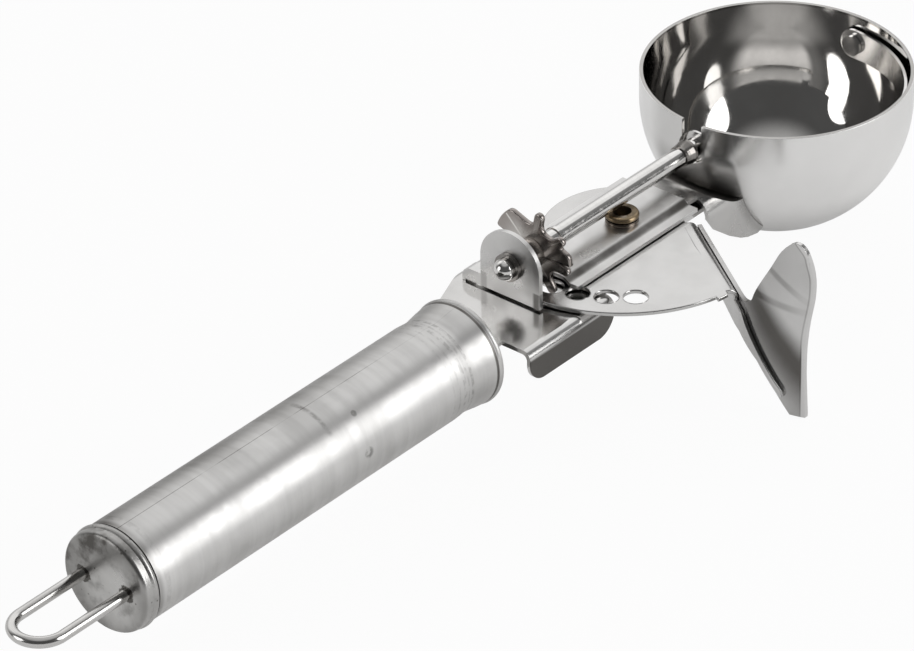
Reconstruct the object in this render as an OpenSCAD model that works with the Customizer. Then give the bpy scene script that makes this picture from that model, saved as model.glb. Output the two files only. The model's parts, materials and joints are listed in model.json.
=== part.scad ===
// Lever ice cream scoop with a star pinion and a punched sector.
// Origin: centre of the handle tube's mouth. +X towards the bowl, +Y to the left, +Z up.
// All sizes in millimetres. The bowl opens upwards and the lever is at rest.

/* [Bowl] */
// Outer radius of the bowl
bowl_r = 28; // [27:0.5:30]
// Thickness of the bowl's sheet
bowl_wall = 0.8; // [0.6:0.1:1.2]
// Height of the straight wall above the hemisphere
bowl_rise = 6; // [4:0.5:8]
// Distance from the handle's mouth to the centre of the bowl
bowl_x = 100; // [99:0.5:104]
// Radius of the hole where the drive rod enters the bowl
notch_r = 3.25; // [2.8:0.05:3.6]
// Width of the slot from that hole up to the rim
notch_w = 4.9; // [4:0.1:5.6]

/* [Sweep blade] */
// Width of the sweep blade
blade_w = 6.5; // [5:0.5:8]
// Thickness of the sweep blade
blade_t = 0.6; // [0.5:0.1:0.8]
// Gap between the blade and the bowl's inner wall
blade_gap = 0.65; // [0.6:0.05:0.9]
// Radius of the round tabs at the blade's ends
tab_r = 3.3; // [3:0.1:3.8]
// Radius of the blade's far pivot pin
blade_pin_r = 1.5; // [1.2:0.1:1.8]

/* [Handle] */
// Length of the handle tube
tube_len = 98; // [80:1:120]
// Outer radius of the handle tube
tube_r = 10.5; // [10.2:0.1:12]
// Wall of the handle tube
tube_wall = 0.8; // [0.6:0.1:0.9]
// Distance from the mouth back to the swaged groove
groove_x = 8; // [8:1:20]
// Depth of the swaged groove
groove_depth = 0.2; // [0.1:0.05:0.3]
// How far the tube's mouth flares out beyond its radius
mouth_flare = 0.55; // [0.3:0.05:0.9]
// Thickness of the end cap behind the tube
cap_t = 3.75; // [3.2:0.05:6]
// Depth of the cap's spigot inside the tube
cap_spigot = 7; // [4:0.5:12]
// Depth of the front plug inside the tube
plug_len = 8; // [5:0.5:14]

/* [Hanging loop] */
// Radius of the loop's wire
loop_wire_r = 1.15; // [1:0.05:1.4]
// Radius of the loop's bend, which sets how far its legs stand apart
loop_bend_r = 5.4; // [4.5:0.1:6.5]
// Length of the straight legs behind the cap
loop_leg = 17; // [12:1:30]

/* [Neck plate] */
// Height of the neck plate's top above the handle's axis
neck_top = 4.2; // [3.9:0.1:4.4]
// Thickness of the neck plate
neck_t = 1; // [0.8:0.1:1.2]
// Length of the tang inside the handle
tang_len = 30; // [12:1:60]
// Gap between the tang's edges and the tube's wall
tang_gap = 0.55; // [0.3:0.05:1.5]
// Half width over the folded guards
guard_hw = 15.5; // [15:0.1:16]
// Start of the guards, measured from the handle's mouth
guard_x0 = 2.6; // [2.2:0.1:4]
// End of the guards, measured from the handle's mouth
guard_x1 = 28.5; // [27.5:0.1:29]
// Outer radius of the fold above each guard
guard_fold_r = 2.2; // [1.5:0.1:2.6]
// Height of the guard below the plate's top
guard_drop = 7.3; // [6:0.1:9]
// Rear corner radius of each guard
guard_corner_r = 4.2; // [2:0.1:4.5]
// Front corner radius of each guard
guard_front_r = 5; // [2:0.1:5]
// Length of the slanted shoulder on the left side
shoulder_len = 16; // [8:0.5:18]
// Half width of the tongue under the pivot
tongue_hw = 8; // [6.5:0.1:8.3]

/* [Channel frame] */
// Thickness of the channel's sheet
channel_t = 0.8; // [0.6:0.1:0.9]
// Height of the crown above the two lips
crown_rise = 0.9; // [0.5:0.1:1]
// Half width of the flat crown
crown_hw = 5.7; // [5.5:0.1:5.9]
// Half width over the two lips
lip_hw = 9.6; // [9.4:0.1:10]
// Rear face of the channel and of its ear
channel_x0 = 15; // [14.8:0.1:15.1]
// Front end of the channel
channel_x1 = 62; // [61.5:0.1:62.2]
// Half width of the closed box behind the sector
box_hw = 12.2; // [11.8:0.1:12.4]
// Length of that box
box_len = 3; // [2.4:0.1:3.1]
// Half width of the ear that carries the rod
ear_hw = 7.5; // [6.5:0.1:8]
// Thickness of the ear
ear_t = 1; // [0.8:0.1:1.2]
// Dark gap under the ear's foot
ear_gap = 0.45; // [0.1:0.05:0.6]
// How far right of the middle the sheet is cut open behind the ear
open_y = 3.4; // [2.6:0.1:4.5]

/* [Saddle] */
// Thickness of the saddle's sheet
saddle_t = 0.95; // [0.8:0.05:1]
// Half width of the saddle
saddle_hw = 10.4; // [9.8:0.1:11]
// Radius of the saddle's round shoulders
saddle_shoulder = 4; // [3:0.1:4.1]
// Length of the saddle's flat step behind its ramp
saddle_step = 2.6; // [2.5:0.1:3]
// Height of the saddle where it meets the bowl
saddle_front_z = 2.6; // [2.2:0.1:3]

/* [Rod] */
// Radius of the drive rod
rod_r = 2; // [1.8:0.05:2.2]
// Radius of the rod's domed rear head
rod_head_r = 2.3; // [2.25:0.05:2.6]
// Radius of the washer behind the ear
washer_r = 3; // [2.8:0.1:3.6]
// Thickness of that washer
washer_t = 0.95; // [0.6:0.05:1.2]
// Largest radius of the flared collar near the bowl
collar_r = 2.6; // [2.5:0.05:2.8]
// Length of the flared collar
collar_len = 3; // [2:0.1:4]

/* [Pinion] */
// Distance from the handle's mouth to the middle of the pinion
mesh_x = 22.4; // [22.3:0.05:22.5]
// Thickness of the pinion's sheet
pinion_t = 1.2; // [1:0.1:1.3]
// Radius over the tips of the teeth
tip_r = 9.3; // [9.1:0.05:9.35]
// Radius at the roots of the teeth
root_r = 6.2; // [5.9:0.05:6.25]
// Half width of a tooth where it meets the sector
tooth_hw = 1.2; // [1:0.05:1.25]
// Half width of a tooth at its rounded tip
tooth_tip_hw = 0.8; // [0.7:0.05:0.85]
// Radius of the stop lug
lug_r = 9.7; // [9.4:0.05:9.75]
// Turns of the rod for one turn of the lever
gear_ratio = 3.5; // [3.48:0.01:3.52]

/* [Lever] */
// Place of the lever's pivot along the scoop
pivot_x = 48; // [47.9:0.05:48.1]
// Place of the lever's pivot across the scoop
pivot_y = -1.5; // [-1.6:0.05:-1.4]
// Thickness of the sector's sheet
sector_t = 0.9; // [0.8:0.05:1]
// Margin of sheet outside the row of holes, measured from their centres
sector_margin = 5.75; // [5.6:0.05:5.8]
// Radius of the sector's round front
sector_front_r = 16.2; // [14.5:0.1:16.3]
// Radius of the punched holes that the teeth enter
rack_hole_r = 2.45; // [2.4:0.01:2.5]
// Number of punched holes
rack_holes = 5; // [5:1:5]
// Outer radius of the bend between the sector and its web
web_bend_r = 1.9; // [1.5:0.1:2.2]
// Thickness of the thumb paddle's sheet
paddle_t = 0.9; // [0.7:0.05:1]
// Radius of the paddle's hollow
paddle_curve_r = 20; // [19:0.5:22]

/* [Pivot] */
// Radius of the hole through the brass eyelet
eyelet_hole_r = 1.95; // [1.7:0.05:2.05]
// Wall of the eyelet's barrel
eyelet_wall = 0.55; // [0.45:0.05:0.6]
// Radius of the eyelet's rolled rim
eyelet_rim_r = 3.5; // [3.2:0.05:3.6]
// Height of the eyelet above the channel's crown
eyelet_h = 2.1; // [2:0.1:2.4]
// Wall of the steel collar round the eyelet
collar_wall = 0.5; // [0.4:0.05:0.55]

/* [Spring] */
// Radius of the spring's wire
spring_wire_r = 0.45; // [0.35:0.05:0.5]
// Height that one turn of the spring climbs
spring_pitch = 1.5; // [1.45:0.05:1.6]
// Radius of the stud that holds the spring's long leg
stud_r = 1.3; // [1.1:0.05:1.4]

/* [Clearances] */
// Radial clearance of a shaft in its bearing
run_gap = 0.06; // [0.04:0.01:0.08]
// Clearance between a piece and the seat that holds it
seat_gap = 0.03; // [0.02:0.01:0.04]
// Clearance between the sheets that slide over each other
layer_gap = 0.3; // [0.28:0.01:0.32]

/* [Hidden] */
$fn = 64;

// Stack of sheets, from the neck plate up to the channel's crown
sector_z = neck_top + layer_gap;
sector_top = sector_z + sector_t;
lip_z = sector_top + layer_gap;
crown_z = lip_z + crown_rise;
crown_top = crown_z + channel_t;
neck_low = neck_top - neck_t;

// The pinion's teeth come round every 45 degrees, and each takes the next hole of the sector
tooth_step = 45;
rack_r = norm([pivot_x - mesh_x, pivot_y]);
rack_step = tooth_step / gear_ratio;
pitch_r = rack_r / gear_ratio;
// The pitch line lies a little above the sector's underside
pitch_lift = 0.174;
rod_z = sector_z + pitch_lift + pitch_r;
// Angle by which the lowest tooth has passed the bottom at rest
mesh_phase = 11;
mesh_dir = atan2(-pivot_y, mesh_x - pivot_x);
sector_r = rack_r + sector_margin;

// The saddle's sheet sinks in one soft ramp from the channel's level down to the bowl
saddle_x0 = channel_x1 + 0.05;
saddle_x1 = bowl_x - bowl_r + 4;
saddle_rear_z = lip_z + 0.05 + saddle_t;
ramp_x0 = saddle_x0 + saddle_step;
ramp_x1 = saddle_x1 - 0.5;
function ramp(x) = saddle_front_z + (saddle_rear_z - saddle_front_z)
    * (1 + cos(180 * max(0, min(1, (x - ramp_x0) / (ramp_x1 - ramp_x0))))) / 2;
step_hw = saddle_hw - saddle_shoulder + 0.4;
// The neck plate's tongue ends where it meets the underside of that ramp
tongue_x1 = ramp_x0 + (ramp_x1 - ramp_x0) / 180
    * acos(2 * (neck_top + 0.05 + saddle_t - saddle_front_z) / (saddle_rear_z - saddle_front_z) - 1);

bowl_in_r = bowl_r - bowl_wall;
rim_z = rod_z + bowl_rise;
blade_out_r = bowl_in_r - blade_gap;
tube_in_r = tube_r - tube_wall;
// The tang is as wide as the tube leaves room for at the plate's height
tang_hw = sqrt(tube_in_r * tube_in_r - neck_top * neck_top) - tang_gap;
saddle_seat_r = bowl_r + 0.05;
bush_in_r = eyelet_hole_r + eyelet_wall;
bush_r = bush_in_r + seat_gap + collar_wall;

// The sector's right edge, a straight fold line, as points seen from the pivot
fold_a = [12.4, -8.8];
fold_b = [-3.3, -31.9];
fold_len = norm(fold_b - fold_a);
fold_dir = atan2(fold_b[1] - fold_a[1], fold_b[0] - fold_a[0]);

// One point of a smooth curve through four neighbours
function spline(p, q, r, s, t) =
    0.5 * (2 * q + (r - p) * t + (2 * p - 5 * q + 4 * r - s) * t * t + (3 * q - p - 3 * r + s) * t * t * t);

// A smooth line through the points, with m steps from each point to the next
function flowing(pts, m) = let (n = len(pts))
    concat([for (i = [0:n - 2]) for (k = [0:m - 1])
        spline(pts[max(0, i - 1)], pts[i], pts[i + 1], pts[min(n - 1, i + 2)], k / m)], [pts[n - 1]]);

// Lays a cross-section with its first axis along +Y and its second along +Z, extruded along +X
module across(x, len) {
    translate([x, 0, 0])
        rotate([90, 0, 90])
            linear_extrude(len) children();
}

// Lays a side view with its first axis along +X and its second along +Z, extruded along Y
module sideways(y0, y1) {
    translate([0, y1, 0])
        rotate([90, 0, 0])
            linear_extrude(y1 - y0) children();
}

// Spins a profile of radius and length round the X axis
module spun(y = 0, z = 0) {
    translate([0, y, z])
        rotate([0, 90, 0])
            rotate_extrude() children();
}

// A round bar or hole along X
module bar(r, x0, x1, y = 0, z = 0) {
    translate([x0, y, z])
        rotate([0, 90, 0])
            cylinder(r = r, h = x1 - x0);
}

// Handle

module handle_tube() {
    lip = 0.8;
    // Outer line of the swaged mouth: a shallow groove, then a flare up to the lip
    line = flowing([[tube_r, -groove_x - 5], [tube_r, -groove_x - 3], [tube_r - groove_depth, -groove_x],
        [tube_r - groove_depth * 0.4, -groove_x + 1.5], [tube_r + mouth_flare * 0.55, -groove_x / 2],
        [tube_r + mouth_flare, -lip - 1]], 4);
    color([0.80, 0.79, 0.78])
        spun()
            union() {
                translate([tube_in_r, -tube_len])
                    square([tube_wall, tube_len - groove_x - 3]);
                polygon(concat([for (p = line) if (p[1] >= -groove_x - 3) p],
                    [[tube_r + mouth_flare, -lip], [tube_r + mouth_flare - 0.3, -lip], [tube_in_r, -lip - 1.5],
                    [tube_in_r, -groove_x - 3]]));
                translate([tube_r + mouth_flare + 0.25 - lip, -lip])
                    circle(r = lip);
            }
}

module front_plug() {
    front = -1.8;
    color([0.35, 0.34, 0.33])
        difference() {
            bar(tube_in_r - seat_gap, front - plug_len, front);
            translate([front - plug_len - 1, -tang_hw - seat_gap, neck_low - seat_gap])
                cube([plug_len + 2, 2 * (tang_hw + seat_gap), neck_t + 2 * seat_gap]);
        }
}

module end_cap() {
    bead = 0.95;
    round_r = 1;
    rear = -tube_len - cap_t;
    color([0.68, 0.67, 0.65])
        difference() {
            spun()
                union() {
                    translate([0, -tube_len - 1])
                        square([tube_in_r - seat_gap, cap_spigot + 1]);
                    translate([0, rear])
                        square([tube_r - round_r, cap_t - 0.05]);
                    translate([0, rear + round_r])
                        square([tube_r, cap_t - round_r - 0.6]);
                    translate([tube_r - round_r, rear + round_r])
                        circle(r = round_r);
                    translate([tube_r + 0.35 - bead, -tube_len - 0.05 - bead])
                        circle(r = bead);
                }
            for (s = [-1, 1])
                bar(loop_wire_r + seat_gap, rear - 1, rear + cap_t + 2, s * loop_bend_r);
        }
}

module hanging_loop() {
    rear = -tube_len - cap_t;
    color([0.84, 0.83, 0.82]) {
        for (s = [-1, 1])
            bar(loop_wire_r, rear - loop_leg, rear + cap_t + 1.5, s * loop_bend_r);
        translate([rear - loop_leg, 0, 0])
            rotate([0, 0, 90])
                rotate_extrude(angle = 180)
                    translate([loop_bend_r, 0])
                        circle(r = loop_wire_r);
    }
}

// Frame

// Section of a flat sheet with both edges folded down
module folded_section(hw, top, t, fold, low) {
    translate([-(hw - fold), top - t])
        square([2 * (hw - fold), t]);
    for (s = [-1, 1])
        translate([s * (hw - fold), top - fold]) {
            intersection() {
                difference() {
                    circle(r = fold);
                    circle(r = fold - t);
                }
                translate([s > 0 ? 0 : -fold, 0])
                    square([fold, fold]);
            }
            translate([s > 0 ? fold - t : -fold, low - top + fold])
                square([t, top - fold - low]);
        }
}

module neck_plate() {
    slot_hw = sqrt(tip_r * tip_r - pow(rod_z - neck_top, 2)) + 0.7;
    slot_hl = pinion_t / 2 + 1.3;
    low = neck_top - guard_drop;
    c = guard_corner_r;
    d = guard_front_r;
    color([0.80, 0.79, 0.78])
        difference() {
            union() {
                translate([0, 0, neck_low])
                    linear_extrude(neck_t) {
                        translate([-tang_len, -tang_hw])
                            square([tang_len + guard_x0 + 1, 2 * tang_hw]);
                        translate([guard_x1 - 1, -tongue_hw])
                            square([tongue_x1 - guard_x1 + 1, 2 * tongue_hw]);
                    }
                intersection() {
                    across(guard_x0, guard_x1 - guard_x0)
                        folded_section(guard_hw, neck_top, neck_t, guard_fold_r, low);
                    sideways(-guard_hw - 1, guard_hw + 1)
                        union() {
                            translate([guard_x0, low + d])
                                square([guard_x1 - guard_x0, guard_drop - d]);
                            translate([guard_x0, low + c])
                                square([(guard_x1 - guard_x0) / 2, guard_drop - c]);
                            translate([guard_x0 + c, low])
                                square([guard_x1 - guard_x0 - c - d, d + 1]);
                            translate([guard_x0 + c, low + c])
                                circle(r = c);
                            translate([guard_x1 - d, low + d])
                                circle(r = d);
                        }
                }
            }
            // The left shoulder runs out at a slant from the handle
            translate([0, 0, low - 1])
                linear_extrude(guard_drop + 2)
                    polygon([[guard_x0 - 1, tang_hw + 0.8], [guard_x0 + shoulder_len, guard_hw + 0.1],
                        [guard_x0 + shoulder_len, guard_hw + 2], [guard_x0 - 1, guard_hw + 2]]);
            translate([mesh_x - slot_hl, -slot_hw, neck_low - 1])
                cube([2 * slot_hl, 2 * slot_hw, neck_t + 2]);
            translate([pivot_x, pivot_y, neck_low - 1])
                cylinder(r = bush_r + seat_gap, h = neck_t + 2);
            translate([stud_at[0], stud_at[1], neck_low - 1])
                cylinder(r = stud_r + seat_gap, h = neck_t + 2);
        }
}

module channel_frame() {
    fold = 2;
    slope = 1.8;
    foot = neck_top + 0.05;
    slot_hw = sqrt(lug_r * lug_r - pow(rod_z - crown_z, 2)) + 0.25;
    slot_hl = pinion_t / 2 + 1.35;
    // Half of the crown's upper line, from the middle out to the lip
    half = [for (i = [0:6]) let (u = i / 6) [crown_hw + slope * u, crown_top - crown_rise * (1 - cos(180 * u)) / 2]];
    line = concat(half, [[lip_hw, crown_top - crown_rise]]);
    top = concat([for (i = [len(line) - 1:-1:0]) [-line[i][0], line[i][1]]], line);
    color([0.82, 0.81, 0.80])
        difference() {
            union() {
                across(channel_x0 + 0.01, channel_x1 - channel_x0 - 0.01)
                    polygon(concat(top, [for (i = [len(top) - 1:-1:0]) top[i] - [0, channel_t]]));
                across(channel_x0 + 0.01, box_len)
                    folded_section(box_hw, crown_top, channel_t, fold, foot);
                across(channel_x0, ear_t)
                    intersection() {
                        union() {
                            translate([-box_hw, foot + ear_gap])
                                square([2 * box_hw, crown_top - fold - foot - ear_gap]);
                            translate([-box_hw + fold, foot + ear_gap])
                                square([2 * (box_hw - fold), crown_top - foot - ear_gap]);
                            for (s = [-1, 1])
                                translate([s * (box_hw - fold), crown_top - fold])
                                    circle(r = fold);
                            translate([-ear_hw, foot + ear_gap])
                                square([2 * ear_hw, rod_z - foot - ear_gap]);
                            translate([0, rod_z])
                                circle(r = ear_hw);
                        }
                        translate([-box_hw, foot + ear_gap])
                            square([2 * box_hw, rod_z + ear_hw]);
                    }
            }
            bar(rod_r + run_gap, channel_x0 - 1, channel_x0 + ear_t + 1, 0, rod_z);
            translate([mesh_x - slot_hl, -slot_hw, lip_z - 1])
                cube([2 * slot_hl, 2 * slot_hw, crown_top - lip_z + 2]);
            // The right side stays open from the ear to the pinion, where the rack passes
            translate([channel_x0 + ear_t, -box_hw - 1, foot - 1])
                cube([mesh_x + slot_hl - channel_x0 - ear_t, box_hw + 1 - open_y, crown_top - foot + 2]);
            translate([channel_x0 - 1, -box_hw - 1, foot - 1])
                cube([ear_t + 2, box_hw + 1 - ear_hw, crown_top - foot + 2]);
            translate([pivot_x, pivot_y, lip_z - 1])
                cylinder(r = bush_r + seat_gap, h = 4);
        }
}

module bowl_saddle() {
    // Side view of the cheeks' lower edge, from the front back to the step
    cheek = [[saddle_x1 + 9, -6.6], [saddle_x1 + 4.7, -8], [saddle_x1 + 1.5, -7.4], [saddle_x1 - 0.8, -6.5],
        [saddle_x1 - 4.6, -4.2], [saddle_x1 - 8.9, -0.9], [ramp_x0, 2.6]];
    color([0.74, 0.73, 0.72])
        difference() {
            intersection() {
                difference() {
                    saddle_hood(0);
                    saddle_hood(saddle_t);
                }
                sideways(-saddle_hw, saddle_hw)
                    polygon(concat([[saddle_x0, saddle_rear_z - saddle_t], [saddle_x0, saddle_rear_z],
                        [saddle_x1 + 9, saddle_rear_z]], cheek, [[ramp_x0, saddle_rear_z - saddle_t]]));
            }
            // The step above the sector stays flat and narrow
            for (s = [-1, 1])
                translate([saddle_x0 - 1, s * (step_hw + 5) - 5, 0])
                    cube([saddle_step + 1, 10, 30]);
            translate([bowl_x, 0, rod_z])
                sphere(r = saddle_seat_r);
        }
}

// The saddle's hood as a solid, t smaller all round: a ramp in side view, with round shoulders across
module saddle_hood(t) {
    upper = concat([[saddle_x0 - t, saddle_rear_z - t]],
        [for (i = [0:10]) let (x = ramp_x0 + (saddle_x1 - ramp_x0) * i / 10) [x, ramp(x) - t]]);
    shoulder_y = saddle_hw - saddle_shoulder;
    shoulder_z = saddle_rear_z - saddle_shoulder;
    intersection() {
        sideways(-saddle_hw + t, saddle_hw - t)
            polygon(concat([[saddle_x0 - t, -12 - t]], upper, [[saddle_x1 + 9 + t, saddle_front_z - t],
                [saddle_x1 + 9 + t, -12 - t]]));
        across(saddle_x0 - 2, saddle_x1 - saddle_x0 + 14)
            union() {
                translate([-saddle_hw + t, -14])
                    square([2 * (saddle_hw - t), shoulder_z + 14]);
                translate([-shoulder_y, -14])
                    square([2 * shoulder_y, saddle_rear_z - t + 14]);
                for (s = [-1, 1])
                    translate([s * shoulder_y, shoulder_z])
                        circle(r = saddle_shoulder - t);
            }
    }
}

// Bowl

module bowl() {
    color([0.86, 0.85, 0.84])
        difference() {
            translate([bowl_x, 0, rod_z])
                rotate_extrude()
                    union() {
                        intersection() {
                            difference() {
                                circle(r = bowl_r);
                                circle(r = bowl_in_r);
                            }
                            translate([0, -bowl_r - 1])
                                square([bowl_r + 1, bowl_r + 1]);
                        }
                        translate([bowl_in_r, 0])
                            square([bowl_wall, bowl_rise]);
                    }
            bar(notch_r, bowl_x - bowl_r - 2, bowl_x - bowl_r + 5, 0, rod_z);
            translate([bowl_x - bowl_r - 2, -notch_w / 2, rod_z])
                cube([7, notch_w, bowl_rise + 1]);
            bar(blade_pin_r + seat_gap, bowl_x + bowl_r - 5, bowl_x + bowl_r + 2, 0, rod_z);
        }
}

module blade_pivot() {
    inner = bowl_x + blade_out_r - blade_t;
    color([0.78, 0.77, 0.76]) {
        bar(blade_pin_r, inner - 1, bowl_x + bowl_r + 0.5, 0, rod_z);
        bar(blade_pin_r + 0.7, inner - 1, inner - 0.15, 0, rod_z);
        bar(blade_pin_r + 0.9, bowl_x + bowl_r + 0.05, bowl_x + bowl_r + 0.75, 0, rod_z);
    }
}

module sweep_blade() {
    color([0.80, 0.79, 0.78])
        difference() {
            union() {
                translate([bowl_x, 0, rod_z])
                    rotate([0, 0, 180])
                        rotate_extrude(angle = 180)
                            translate([blade_out_r - blade_t, -blade_w / 2])
                                square([blade_t, blade_w]);
                for (s = [-1, 1])
                    bar(tab_r, bowl_x + s * (blade_out_r - blade_t / 2) - blade_t / 2,
                        bowl_x + s * (blade_out_r - blade_t / 2) + blade_t / 2, 0, rod_z);
            }
            bar(blade_pin_r + run_gap, bowl_x + blade_out_r - 3, bowl_x + blade_out_r + 1, 0, rod_z);
            bar(rod_r + seat_gap, bowl_x - blade_out_r - 1, bowl_x - blade_out_r + 3, 0, rod_z);
        }
}

// Drive

module drive_rod() {
    tail = channel_x0 - 0.1 - washer_t;
    nose = bowl_x - blade_out_r + blade_t;
    color([0.86, 0.85, 0.84]) {
        bar(rod_r, tail - 1, nose + 1, 0, rod_z);
        // Domed and grooved rear head
        bar(rod_head_r, tail - 0.9, tail - 0.05, 0, rod_z);
        translate([tail - 1, 0, rod_z])
            intersection() {
                translate([0.6, 0, 0])
                    sphere(r = rod_r + 0.2);
                translate([-5, -5, -5])
                    cube([5.2, 10, 10]);
            }
        // Shoulder ahead of the pinion
        bar(rod_r + 0.25, mesh_x + 6.1, mesh_x + 6.9, 0, rod_z);
        // Peened nose inside the blade's tab
        bar(rod_r + 0.4, nose + 0.2, nose + 0.8, 0, rod_z);
    }
}

module rear_washer() {
    color([0.45, 0.43, 0.41])
        difference() {
            bar(washer_r, channel_x0 - 0.08 - washer_t, channel_x0 - 0.08, 0, rod_z);
            bar(rod_r + seat_gap, channel_x0 - 3, channel_x0 + 1, 0, rod_z);
        }
}

module rod_collar() {
    end = bowl_x - bowl_r - 1;
    bore = rod_r + seat_gap;
    color([0.72, 0.71, 0.70])
        spun(0, rod_z)
            polygon(concat([[bore, end - collar_len], [bore, end], [collar_r, end]],
                [for (i = [0:4]) [collar_r - (collar_r - bore - 0.25) * sin(22.5 * i), end - 0.6 - (collar_len - 0.6) * i / 4]]));
}

module pinion() {
    turn = -90 - mesh_phase;
    lug_a = 125.3;
    lug_b = 163;
    color([0.42, 0.39, 0.37])
        difference() {
            union() {
                translate([0, 0, rod_z])
                    across(mesh_x - pinion_t / 2, pinion_t)
                        union() {
                            circle(r = root_r);
                            // Six teeth, each with a round tip
                            for (k = [-1:4])
                                rotate(180 - (turn + tooth_step * k)) {
                                    polygon([[root_r - 0.6, -tooth_hw - 0.45], [pitch_r, -tooth_hw],
                                        [tip_r - tooth_tip_hw, -tooth_tip_hw], [tip_r - tooth_tip_hw, tooth_tip_hw],
                                        [pitch_r, tooth_hw], [root_r - 0.6, tooth_hw + 0.45]]);
                                    translate([tip_r - tooth_tip_hw, 0])
                                        circle(r = tooth_tip_hw);
                                }
                            // Stop lug with one straight edge
                            intersection() {
                                circle(r = lug_r);
                                polygon([[0, 0], [-0.57, root_r], lug_r * 1.001 * [-cos(lug_a), sin(lug_a)],
                                    1.2 * lug_r * [-cos(145), sin(145)], 1.2 * lug_r * [-cos(lug_b), sin(lug_b)]]);
                            }
                        }
                // Hub that keeps the pinion clear of the ear, and its short front boss
                bar(rod_r + 1.2, channel_x0 + ear_t + layer_gap, mesh_x, 0, rod_z);
                bar(rod_r + 1.6, mesh_x, mesh_x + pinion_t / 2 + 1.6, 0, rod_z);
            }
            bar(rod_r + seat_gap, channel_x0, mesh_x + 5, 0, rod_z);
        }
}

// Lever

module lever_sector() {
    color([0.84, 0.83, 0.82])
        difference() {
            union() {
                translate([pivot_x, pivot_y, sector_z])
                    linear_extrude(sector_t)
                        intersection() {
                            union() {
                                circle(r = sector_front_r);
                                intersection() {
                                    circle(r = sector_r, $fn = 128);
                                    polygon([[0, 0], [-4, 15], 40 * [cos(163), sin(163)], [-42, -20], [-30, -45], [5, -45]]);
                                }
                                polygon([[0, 0], [-8, -30], sector_r * 1.03 * [cos(254.5), sin(254.5)], fold_b]);
                            }
                            // Everything inside the fold line, less the bend
                            rotate(fold_dir)
                                translate([-60, -60 + fold_off - web_bend_r - 0.5])
                                    square([120, 60]);
                        }
                // Bend from the sector's plane down into the web
                at_fold()
                    across(fold_start, fold_len - fold_start) {
                        translate([-web_bend_r - 1.2, sector_z])
                            square([1.2, sector_t]);
                        translate([-web_bend_r, sector_top - web_bend_r])
                            intersection() {
                                difference() {
                                    circle(r = web_bend_r);
                                    circle(r = web_bend_r - sector_t);
                                }
                                square([web_bend_r, web_bend_r]);
                            }
                        translate([-sector_t, sector_top - web_bend_r - 1])
                            square([sector_t, 1]);
                    }
                // Web below the bend, deeper towards the thumb, and its tapered tongue along the paddle
                fold_wall(-sector_t, sector_t, [[-5, 3], [-33.4, 3], [-35.8, 2.2], [-41.5, -4.2], [-47.3, -10.6],
                    [-47.8, -12], [-46.9, -12.4], [-41.3, -6.3], [-35.3, -2.6], [-31, -2], [-5, 1.9]]);
            }
            for (k = [0:rack_holes - 1])
                translate([pivot_x, pivot_y, sector_z - 1])
                    rotate(mesh_dir - mesh_phase / gear_ratio + k * rack_step)
                        translate([rack_r, 0, 0])
                            cylinder(r = rack_hole_r, h = sector_t + 2);
            translate([pivot_x, pivot_y, sector_z - 1])
                cylinder(r = bush_r + run_gap, h = sector_t + 2);
        }
}

// Places something in the fold line's own frame, with X along the fold and -Y towards the pivot side
module at_fold() {
    translate([pivot_x + fold_a[0], pivot_y + fold_a[1], 0])
        rotate(fold_dir)
            children();
}

// A standing wall along the fold that runs on into the paddle's curve, cut to an outline seen along X
module fold_wall(y0, t, outline) {
    intersection() {
        at_fold()
            translate([0, 0, -40])
                linear_extrude(80) {
                    translate([fold_start, y0])
                        square([fold_len - fold_start, t]);
                    translate([fold_len, paddle_curve_r])
                        intersection() {
                            difference() {
                                circle(r = paddle_curve_r - y0, $fn = 128);
                                circle(r = paddle_curve_r - y0 - t, $fn = 128);
                            }
                            polygon([[0, 0], [0, -40], 40 * [cos(-60), sin(-60)], 40 * [cos(-20), sin(-20)]]);
                        }
                }
        across(20, 50)
            polygon(outline);
    }
}

module thumb_paddle() {
    leaf = [[-34.5, 4.4], [-36.6, 4.6], [-38.4, 5.8], [-39.9, 9.1], [-43.8, 15.8], [-46.4, 20.6], [-49.1, 23.3],
        [-51, 22.6], [-52.3, 19.6], [-53, 15.6], [-52.9, 11], [-52.1, 5.6], [-51.6, 0], [-51.5, -6], [-51.7, -12],
        [-51.8, -17], [-51, -18.8], [-49.6, -17.4], [-46, -12.8], [-41.3, -7], [-36.5, -3.3], [-33, -2.4]];
    color([0.72, 0.71, 0.70])
        fold_wall(seat_gap, paddle_t, concat([[-5, 4.4]], flowing(leaf, 3), [[-5, 1.5]]));
}

// Pivot and spring

module pivot_eyelet() {
    low = -3.4;
    top = crown_top + eyelet_h;
    color([0.66, 0.50, 0.28])
        translate([pivot_x, pivot_y, 0])
            difference() {
                union() {
                    translate([0, 0, low])
                        cylinder(r = bush_in_r, h = top - 0.7 - low);
                    translate([0, 0, low])
                        cylinder(r = bush_r, h = 0.7);
                    // Rolled rim: a ring of round section on a short neck
                    rotate_extrude()
                        union() {
                            translate([eyelet_hole_r, top - 1.3])
                                square([eyelet_rim_r - 0.65 - eyelet_hole_r, 1.3]);
                            translate([eyelet_rim_r - 0.65, top - 0.65])
                                circle(r = 0.65);
                        }
                }
                translate([0, 0, low - 1])
                    cylinder(r = eyelet_hole_r, h = top - low + 2);
            }
}

module pivot_collar() {
    ring_h = eyelet_h - 1.3 - 0.05;
    bore = bush_in_r + seat_gap;
    ring_r = bush_r + 0.35;
    color([0.58, 0.56, 0.54])
        translate([pivot_x, pivot_y, 0])
            rotate_extrude()
                difference() {
                    union() {
                        translate([bore, neck_low])
                            square([bush_r - bore, crown_top - neck_low + 0.02]);
                        translate([bore, crown_top + 0.02])
                            square([ring_r - bore, ring_h - 0.02]);
                    }
                    translate([ring_r + 0.1, crown_top + ring_h / 2])
                        circle(r = 0.25);
                }
}

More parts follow.
